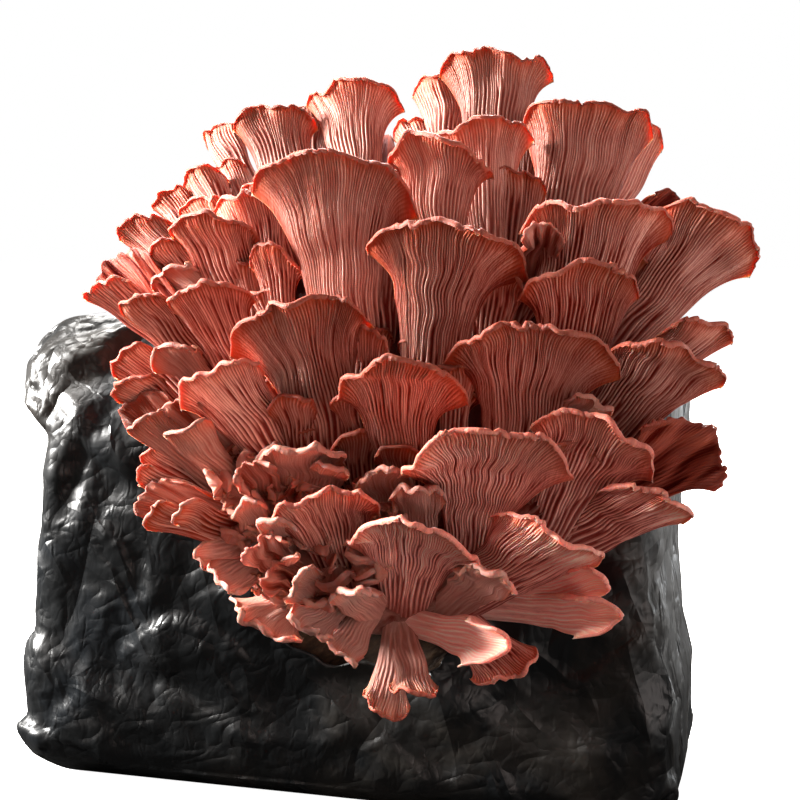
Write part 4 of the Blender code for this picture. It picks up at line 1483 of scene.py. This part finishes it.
    def _crowding_fans(self, rng: np.random.Generator) -> list[Lobe]:
        """Spreads small fans all over the base's front, seen only in the gaps between the large ones.

        Args:
            rng: The source of their places.

        Returns:
            Where they are.
        """
        lobes = []
        for across in np.arange(-54, 66, self.crowd_step):
            for up in np.arange(-34, 58, self.crowd_step):
                place = np.array([across, up]) + rng.uniform(-4, 4, 2)
                if BASE.reach(place) > 0.8 or (place[0] < -14 and place[1] < -24):
                    continue
                axis = unit((place - np.array(BASE.centre)) / 90 + np.array([0.0, 0.7]))
                half = rng.uniform(6.5, 9.0)
                depth = BASE.rim_depth(place, rng.uniform(2, 6), -1)
                lobes.append(self._lobe(place - axis * 10, place + axis * 9, axis, half, 3, depth, 1.5, 0.45))
        return lobes

    def _rear_caps(self, rng: np.random.Generator) -> list[Lobe]:
        """Spreads small fans all over the base's rear, which faces away from the eye.

        Args:
            rng: The source of their places.

        Returns:
            Where they are.
        """
        lobes = []
        step, rise = self.rear_steps
        for row, up in enumerate(np.arange(16, 70, rise)):
            for across in np.arange(-52, 60, step):
                place = np.array([across + step / 2 * (row % 2), up]) + rng.uniform(-3, 3, 2)
                if BASE.reach(place) > 0.94:
                    continue
                axis = unit((place - np.array(BASE.centre)) / 70 + np.array([0.0, 0.5]))
                half = rng.uniform(8.0, 12.0)
                top = place + axis * rng.uniform(9, 14)
                depth = BASE.rim_depth(place, rng.uniform(7, 14), 1)
                lobes.append(self._lobe(place - axis * 8, top, axis, half, 4, depth, 1.6, 0.4, True))
        return lobes

    def _crumpled_caps(self, rng: np.random.Generator) -> list[Lobe]:
        """Crowds small curled caps on the base's lower left.

        Args:
            rng: The source of their places.

        Returns:
            Where they are.
        """
        lobes = []
        middle = BASE.centre
        for _ in range(self.small_caps):
            foot = np.array([rng.uniform(-56, -4), rng.uniform(-74, -22)])
            if BASE.reach(foot) > 0.97 or foot[0] - foot[1] > 40:
                continue
            outward = math.atan2(foot[1] - middle[1], foot[0] - middle[0]) + rng.normal() * 0.8
            axis = np.array([math.cos(outward), math.sin(outward)])
            half = rng.uniform(4.5, 8.5)
            top = foot + axis * rng.uniform(7, 13)
            hang = rng.uniform(1, 5)
            depth = BASE.rim_depth(foot, rng.uniform(6, 15), -1)
            flare, away = rng.uniform(0.8, 1.4), bool(rng.uniform() < 0.4)
            lobes.append(self._lobe(foot, top, axis, half, hang, depth, flare, 0.4, away))
        return lobes


class Fold(NamedTuple):
    """A fold of the film's front, which stands out to the right of its line.

    Attributes:
        line: The line's corners on the drawing sheet, in millimetres.
        rise: How far the film stands out there.
        sharpness: How wide the fold's steep side is.
        reach: How far from the line the fold fades out.
    """

    line: tuple[tuple[float, float], ...]
    rise: float
    sharpness: float
    reach: float

    def height(self, place: Array) -> Array:
        """Finds how far the film stands out.

        Args:
            place: Places on the sheet.

        Returns:
            The height at each place, in millimetres.
        """
        nearest, height = np.full(len(place), np.inf), np.zeros(len(place))
        for start, end in zip(self.line, self.line[1:]):
            length = np.hypot(*np.subtract(end, start))
            along = np.subtract(end, start) / length
            offset = place - start
            run = offset @ along
            aside = offset[:, 0] * along[1] - offset[:, 1] * along[0]
            past = np.maximum(0, np.maximum(-run, run - length))
            far = np.hypot(aside, past)
            shape = np.tanh(aside / self.sharpness) * np.exp(-far / self.reach - past / 6)
            height = np.where(far < nearest, self.rise * shape, height)
            nearest = np.minimum(nearest, far)
        return height


FRONT_FOLDS: list[Fold] = [
    Fold(((-126, 14.3), (-120.7, 14), (-116, 23.3)), 2.4, 1.8, 8),
    Fold(((-110.7, -41), (-109, -34.7), (-105.2, -19.7), (-106.3, -11.3), (-114.3, -0.7), (-123.3, 5.7),
          (-120.7, 19.7)), 2.2, 1.8, 12),
    Fold(((-124.3, -77.3), (-107.3, -91.7), (-98.3, -97.3)), 2.0, 2.0, 14),
    Fold(((-127, -106), (-117.3, -112.3), (-114.7, -105), (-107.7, -98.3)), 3.0, 1.8, 8),
    Fold(((-80, -92), (-93, -84.7), (-84.3, -77.3)), 1.6, 2.0, 12),
    Fold(((-80, -95.3), (-65.3, -102.7), (-50.3, -109)), 1.8, 2.0, 12),
    Fold(((-83.3, -75), (-73.7, -72), (-59, -79.3), (-46.7, -85.7)), 1.8, 2.0, 16),
    Fold(((-86.7, -22), (-90.7, -26.3), (-103.7, -17.7)), 2.0, 2.0, 18),
    Fold(((-87.7, -65.7), (-83.3, -49.7)), 2.2, 2.0, 12),
    Fold(((83, -58), (84, -69), (83.7, -81.3), (91.7, -98.3), (88.3, -113.7), (88.7, -124)), 3.2, 1.8, 10),
    Fold(((93, -52), (89.3, -66.7), (96.7, -85)), 2.4, 1.8, 8),
    Fold(((-23.3, -96.7), (0, -115), (10, -125)), 2.2, 2.5, 16),
    Fold(((23.3, -100), (46.7, -111.7), (66.7, -115)), 2.2, 2.5, 16),
    Fold(((53.3, -96.7), (73.3, -86.7), (83.3, -70)), 2.2, 2.0, 14),
    Fold(((-113.3, 18.3), (-100, 23.3), (-90, 26)), 3.0, 1.8, 9),
    Fold(((-90, 21.7), (-98.3, 12.3), (-108.3, 10)), 3.6, 1.8, 10),
    Fold(((-96, 2), (-104, -6), (-112, -26)), 2.0, 1.8, 12),
]


@dataclass
class Bag:
    """The film bag and the substrate in it. Sizes are in metres, but for those on the drawing sheet.

    Attributes:
        width: The bag's width.
        depth: Its depth.
        height: Its height.
        corner: The radius of its edges.
        film: The film's thickness.
        belly: How far its front and back bulge.
        lump: How far its front and back are uneven.
        film_cuts: How finely the film is cut along X, Y and Z.
        substrate_cuts: How finely the substrate is.
        opening_centre: The middle of the torn opening on the sheet, in millimetres.
        opening_radii: Its half width and half height there.
        opening_rags: Its ragged edge: how many points go round, where they start and their share.
        lip_curl: How far the torn edge curls out.
        outline_heights: Heights at which the sides are given, in millimetres.
        left_side: How far the left side stands out there, in millimetres.
        right_side: How far the right side does.
        fold_sizes: The short folds: their number, and their length, width and height in millimetres.
        pinch_sizes: The long creases: their wavelength in millimetres, their sharpness and their height.
        shoulder_drop: How far the front slants back at the upper left.
        shoulder_heights: Between which heights it does, in millimetres.
        deepest_fold: The most that the film stands out or in.
        inset: How far the substrate keeps inside the smooth film.
        seed: Where the random draws start.
    """

    width: float = 260 * MM
    depth: float = 120 * MM
    height: float = 185 * MM
    corner: float = 18 * MM
    film: float = 0.8 * MM
    belly: float = 3 * MM
    lump: float = 1.2 * MM
    film_cuts: tuple[int, int, int] = (136, 40, 100)
    substrate_cuts: tuple[int, int, int] = (70, 34, 50)
    opening_centre: tuple[float, float] = (-8.0, -50.0)
    opening_radii: tuple[float, float] = (44.0, 40.0)
    opening_rags: tuple[tuple[int, float, float], ...] = ((5, 1.0, 0.05), (9, 0.0, 0.035), (17, 2.0, 0.02))
    lip_curl: float = 2.6 * MM
    outline_heights: tuple[float, ...] = (0, 8, 18, 32, 45, 62, 96, 122, 138, 150, 170, 185)
    left_side: tuple[float, ...] = (-4, 4, 6, 3, 2, -1, -5, -8, -11, 2.5, 5.5, 4)
    right_side: tuple[float, ...] = (2, 2, 0, 0, 0, -4, -7, -6, -3, -3, -3, -4)
    fold_sizes: tuple[tuple[int, float, float, float], ...] = (
        (10, 70.0, 9.0, 0.7), (24, 34.0, 3.5, 0.7), (30, 20.0, 2.0, 0.6),
    )
    pinch_sizes: tuple[tuple[float, float, float], ...] = ((95.0, 0.22, 1.2), (48.0, 0.2, 0.6))
    shoulder_drop: float = 32 * MM
    shoulder_heights: tuple[float, float] = (136.0, 196.0)
    deepest_fold: float = 5 * MM
    inset: float = 8.5 * MM
    seed: int = 7

    def _block(self, name: str, cuts: tuple[int, int, int]) -> tuple[bpy.types.Object, Array, Array]:
        """Makes a cube of side 2, cuts it into a fine grid and shapes it to the bag's smooth outside.

        Args:
            name: The object's name.
            cuts: How many cuts its edges get along X, Y and Z.

        Returns:
            The object, its points and their normals.
        """
        bpy.ops.object.select_all(action="DESELECT")
        bpy.ops.mesh.primitive_cube_add(size=2)
        block = bpy.context.object
        block.name = name
        for axis, number in enumerate(cuts):
            deselect("EDGE")
            for edge in block.data.edges:
                start, end = (block.data.vertices[corner].co for corner in edge.vertices)
                edge.select = abs(end[axis] - start[axis]) > 1e-6
            bpy.ops.object.mode_set(mode="EDIT")
            bpy.ops.mesh.subdivide(number_cuts=number)
            bpy.ops.object.mode_set(mode="OBJECT")
        smooth = self._shape(read_vectors(block.data, "co"))
        move_points(block.data, smooth)
        return block, smooth, read_vectors(block.data, "normal")

    def _shape(self, cube: Array) -> Array:
        """Carries points of the cube to the bag's smooth outside.

        Args:
            cube: The points of the cube of side 2.

        Returns:
            Their places on the bag.
        """
        half = np.array([self.width, self.depth, self.height]) / 2
        target = cube * (1.5 - 0.5 * cube * cube) * half
        core = np.clip(target, -half + self.corner, half - self.corner)
        out = target - core
        length = np.linalg.norm(out, axis=1, keepdims=True)
        point = core + out * np.minimum(1.0, self.corner / np.maximum(length, 1e-9))
        x, y, z = (point / half).T
        point[:, 1] += np.sign(y) * self.belly * (1 - x * x) * (1 - z * z) * np.abs(y)
        point[:, 2] += self.height / 2
        height = point[:, 2] / MM
        left = np.interp(height, self.outline_heights, self.left_side)
        right = np.interp(height, self.outline_heights, self.right_side)
        point[:, 0] += np.sign(x) * np.abs(x) ** 3 * np.where(x < 0, left, right) * MM
        shoulder = smooth_step(*self.shoulder_heights, height) * smooth_step(0.1, 0.5, -x) * np.clip(-y, 0, 1)
        point[:, 1] += self.shoulder_drop * shoulder
        lumps = self.lump * np.sin(3.1 * x + 5 * y + 1) * np.cos(4 * z - 2 * x)
        point[:, 1] += y * np.where(z > -0.9, lumps, 0.0)
        return point

    def _folds(self, points: Array, normals: Array) -> Array:
        """Crinkles the film with many short straight folds, long creases and the front's own folds.

        Args:
            points: The smooth film's points.
            normals: Their normals.

        Returns:
            How far each point stands out from the smooth bag, in metres.
        """
        rng = np.random.default_rng(self.seed)
        total = np.zeros(len(points))
        for count, length, width, amount in self.fold_sizes:
            for centre in rng.integers(0, len(points), count):
                tangent = unit(np.cross(normals[centre], rng.normal(size=3)))
                lean = rng.uniform(0.6, 1.4)
                away = (points - points[centre]) / MM
                far = np.linalg.norm(away, axis=1)
                across = away @ tangent + 0.12 * length * np.sin(far / length * 2 + rng.uniform(0, 6))
                ridge = np.exp(-np.abs(across) / (width * lean)) * np.exp(-((far / (length * lean)) ** 2))
                total += rng.choice((-1.0, 0.8)) * amount * rng.uniform(0.5, 1.2) * ridge
        total = total + self._pinches(points / MM, rng) - 0.8
        seen = np.stack(SHEET.seen(points), axis=-1)
        front = smooth_step(0.1, 0.35, -points[:, 1] / self.depth)
        total = total + front * sum(fold.height(seen) for fold in FRONT_FOLDS)
        return self.deepest_fold * np.tanh(total * MM / self.deepest_fold)

    def _pinches(self, points: Array, rng: np.random.Generator) -> Array:
        """Makes long wandering creases with smooth film between them.

        Args:
            points: The film's points, in millimetres.
            rng: The source of the creases' places.

        Returns:
            How far each point stands out, in millimetres.
        """
        total = np.zeros(len(points))
        for wavelength, sharpness, amount in self.pinch_sizes:
            drift = np.stack([waves(rng, points, wavelength) for _ in range(3)], axis=-1)
            lie = points + 0.25 * wavelength * drift
            for sign in (1.0, -0.8):
                total += sign * amount * np.exp(-np.abs(waves(rng, lie, 1.6 * wavelength)) / sharpness)
        return total

    def build(self) -> None:
        """Builds the film with its torn opening, and the substrate."""
        self._build_film()
        self._build_substrate()

    def _build_film(self) -> None:
        """Builds the crinkled film."""
        film, smooth, normals = self._block("film_bag", self.film_cuts)
        grounded = smooth_step(0.0, 0.02, smooth[:, 2])
        crinkled = smooth + normals * (self._folds(smooth, normals) * grounded)[:, None]
        crinkled[:, 2] = np.maximum(crinkled[:, 2], 0.0)
        self._tear(film.data, crinkled)
        shell = film.modifiers.new("Film", "SOLIDIFY")
        shell.thickness = self.film
        shell.offset = -1
        bpy.ops.object.modifier_apply(modifier="Film")
        bpy.ops.object.shade_smooth()
        dress(film, FilmFinish().make(), Slot.FILM, "bag_film")

    def _tear(self, mesh: bpy.types.Mesh, points: Array) -> None:
        """Opens the film over the slit: the last points inside it move out onto its ragged edge.

        Args:
            mesh: The film's mesh.
            points: Where its points are once crinkled.
        """
        centre, radii = self.opening_centre, self.opening_radii
        offset = (np.stack(SHEET.seen(points), axis=-1) - centre) / radii
        angle = np.arctan2(offset[:, 1], offset[:, 0])
        ragged = 1 + sum(share * np.sin(count * angle + start) for count, start, share in self.opening_rags)
        radius = np.linalg.norm(offset, axis=1) / ragged
        front = points[:, 1] < -self.depth * 0.4
        inside = (radius < 1) & front
        corners = np.empty(len(mesh.polygons) * 4, dtype=np.int32)
        mesh.polygons.foreach_get("vertices", corners)
        corners = corners.reshape(-1, 4)
        crossed = inside[corners].any(axis=1) & ~inside[corners].all(axis=1)
        edge = np.zeros(len(points), dtype=bool)
        edge[corners[crossed].ravel()] = True
        edge &= inside
        moved = points.copy()
        onto = offset[edge] / radius[edge][:, None] * radii + centre
        moved[edge] = SHEET.place(onto[:, 0], onto[:, 1], points[edge, 1] / MM - SHEET.centre[1])
        curl = np.exp(-np.maximum(0, radius - 1) / 0.09) * front * (0.4 + 0.6 * np.sin(3 * angle + 0.6) ** 2)
        moved[:, 1] -= self.lip_curl * curl
        move_points(mesh, moved)
        deselect("VERT")
        mesh.vertices.foreach_set("select", inside & ~edge)
        bpy.ops.object.mode_set(mode="EDIT")
        bpy.ops.mesh.delete(type="VERT")
        bpy.ops.object.mode_set(mode="OBJECT")

    def _build_substrate(self) -> None:
        """Builds the block of substrate inside the film."""
        block, smooth, normals = self._block("substrate", self.substrate_cuts)
        rng = np.random.default_rng(self.seed + 2)
        inset = self.inset + 0.8 * MM * waves(rng, smooth, 0.006) + 0.6 * MM * waves(rng, smooth, 0.015)
        move_points(block.data, smooth - normals * inset[:, None])
        bpy.ops.object.shade_smooth()
        dress(block, SubstrateFinish().make(), Slot.SUBSTRATE, "substrate_block")


class Lamp(NamedTuple):
    """A round area light: its name, its place and size in metres, its power in watts and its colour."""

    name: str
    place: tuple[float, float, float]
    size: float
    power: float
    colour: Colour

    def build(self, aim: tuple[float, float, float]) -> None:
        """Makes the light.

        Args:
            aim: What it faces.
        """
        data = bpy.data.lights.new(self.name, "AREA")
        data.shape = "DISK"
        data.size = self.size
        data.energy = self.power
        data.color = self.colour
        light = bpy.data.objects.new(self.name, data)
        light.location = self.place
        light.rotation_euler = (Vector(aim) - Vector(self.place)).to_track_quat("-Z", "Y").to_euler()
        bpy.context.scene.collection.objects.link(light)


LAMPS: list[Lamp] = [
    Lamp("key_left", (-1.12, -0.17, 0.55), 0.45, 92.0, (1.0, 0.98, 0.95)),
    Lamp("above", (-0.62, 0.38, 1.20), 0.7, 19.0, (1.0, 0.98, 0.95)),
    Lamp("low_front", (0.55, -1.00, 0.05), 0.8, 2.7, (1.0, 0.81, 0.74)),
    Lamp("above_behind", (-0.30, 0.80, 1.10), 0.6, 45.0, (1.0, 0.96, 0.92)),
    Lamp("front_fill", (-0.80, -1.00, 0.60), 0.9, 1.8, (1.0, 0.87, 0.80)),
    Lamp("right_side", (1.15, -0.60, 0.20), 1.3, 9.0, (1.0, 0.90, 0.86)),
    Lamp("behind_right", (0.55, 1.35, 0.35), 0.8, 7.0, (0.95, 0.98, 1.0)),
    Lamp("behind_left", (-0.45, 1.30, 0.42), 0.7, 3.5, (0.97, 0.98, 1.0)),
]


@dataclass
class Studio:
    """The pale floor, the lights and the camera.

    Attributes:
        focal_pixels: The photograph's focal length, in its pixels.
        frame_pixels: Its width.
        sensor: The camera's sensor, in millimetres.
        aim: What the lights face, in metres.
        floor_size: The floor's side, in metres.
        floor_bounce: How light the floor is to reflections: dark under the bag and lighter on its right.
        glow: How brightly the floor shines to the camera.
        surround: The strength of the surround's light.
    """

    focal_pixels: float = 1500.0
    frame_pixels: float = 800.0
    sensor: float = 36.0
    aim: tuple[float, float, float] = (0.02, -0.06, 0.15)
    floor_size: float = 12.0
    floor_bounce: tuple[tuple[float, Colour], ...] = ((0.18, (0.02, 0.02, 0.02)), (0.42, (0.42, 0.42, 0.42)))
    glow: float = 0.97
    surround: float = 0.045

    def build(self) -> None:
        """Sets up the stage."""
        self._floor()
        self._world()
        for lamp in LAMPS:
            lamp.build(self.aim)
        self._camera()
        bpy.context.scene.view_settings.view_transform = "Standard"

    def _floor(self) -> None:
        """Lays a plain pale floor."""
        bpy.ops.object.select_all(action="DESELECT")
        bpy.ops.mesh.primitive_plane_add(size=self.floor_size, location=(0, 0, -0.5 * MM))
        floor = bpy.context.object
        floor.name = "studio_floor"
        graph = NodeGraph("pale_floor")
        to_camera = graph.nodes.new("ShaderNodeLightPath").outputs["Is Camera Ray"]
        place = graph.separated("XYZ", graph.coordinates())
        lit = graph.ramp(place.outputs["X"], list(self.floor_bounce))
        graph.link(graph.mix(to_camera, lit, (0.86, 0.86, 0.86)), "Base Color")
        graph.set("Roughness", 0.9)
        graph.set("Specular IOR Level", 0.0)
        graph.link(graph.math("MULTIPLY", to_camera, self.glow), "Emission Strength")
        graph.set("Emission Color", (1.0, 1.0, 1.0, 1.0))
        floor.data.materials.append(graph.material)

    def _world(self) -> None:
        """Makes the surround: white to the camera, and dim as light."""
        world = bpy.data.worlds.new("studio")
        bpy.context.scene.world = world
        world.use_nodes = True
        nodes, links = world.node_tree.nodes, world.node_tree.links
        seen, lit = nodes["Background"], nodes.new("ShaderNodeBackground")
        lights = ((seen, (1.0, 1.0, 1.0), 1.0), (lit, (0.93, 0.96, 1.0), self.surround))
        for shader, colour, strength in lights:
            shader.inputs["Color"].default_value = (*colour, 1.0)
            shader.inputs["Strength"].default_value = strength
        path, mixed = nodes.new("ShaderNodeLightPath"), nodes.new("ShaderNodeMixShader")
        links.new(path.outputs["Is Camera Ray"], mixed.inputs["Fac"])
        links.new(lit.outputs["Background"], mixed.inputs[1])
        links.new(seen.outputs["Background"], mixed.inputs[2])
        links.new(mixed.outputs["Shader"], nodes["World Output"].inputs["Surface"])

    def _camera(self) -> None:
        """Sets the camera at the photograph's viewpoint."""
        data = bpy.data.cameras.new("camera")
        data.sensor_width = self.sensor
        data.lens = self.sensor * self.focal_pixels / self.frame_pixels
        camera = bpy.data.objects.new("camera", data)
        camera.location = SHEET.eye * MM
        camera.rotation_euler = Vector(SHEET.ahead).to_track_quat("-Z", "Y").to_euler()
        bpy.context.scene.collection.objects.link(camera)
        bpy.context.scene.camera = camera


def main() -> None:
    """Builds the whole scene."""
    logging.basicConfig(level=logging.INFO, format="%(name)s: %(message)s")
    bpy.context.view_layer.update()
    Studio().build()
    Bag().build()
    Cluster().build()


if __name__ == "__main__":
    main()
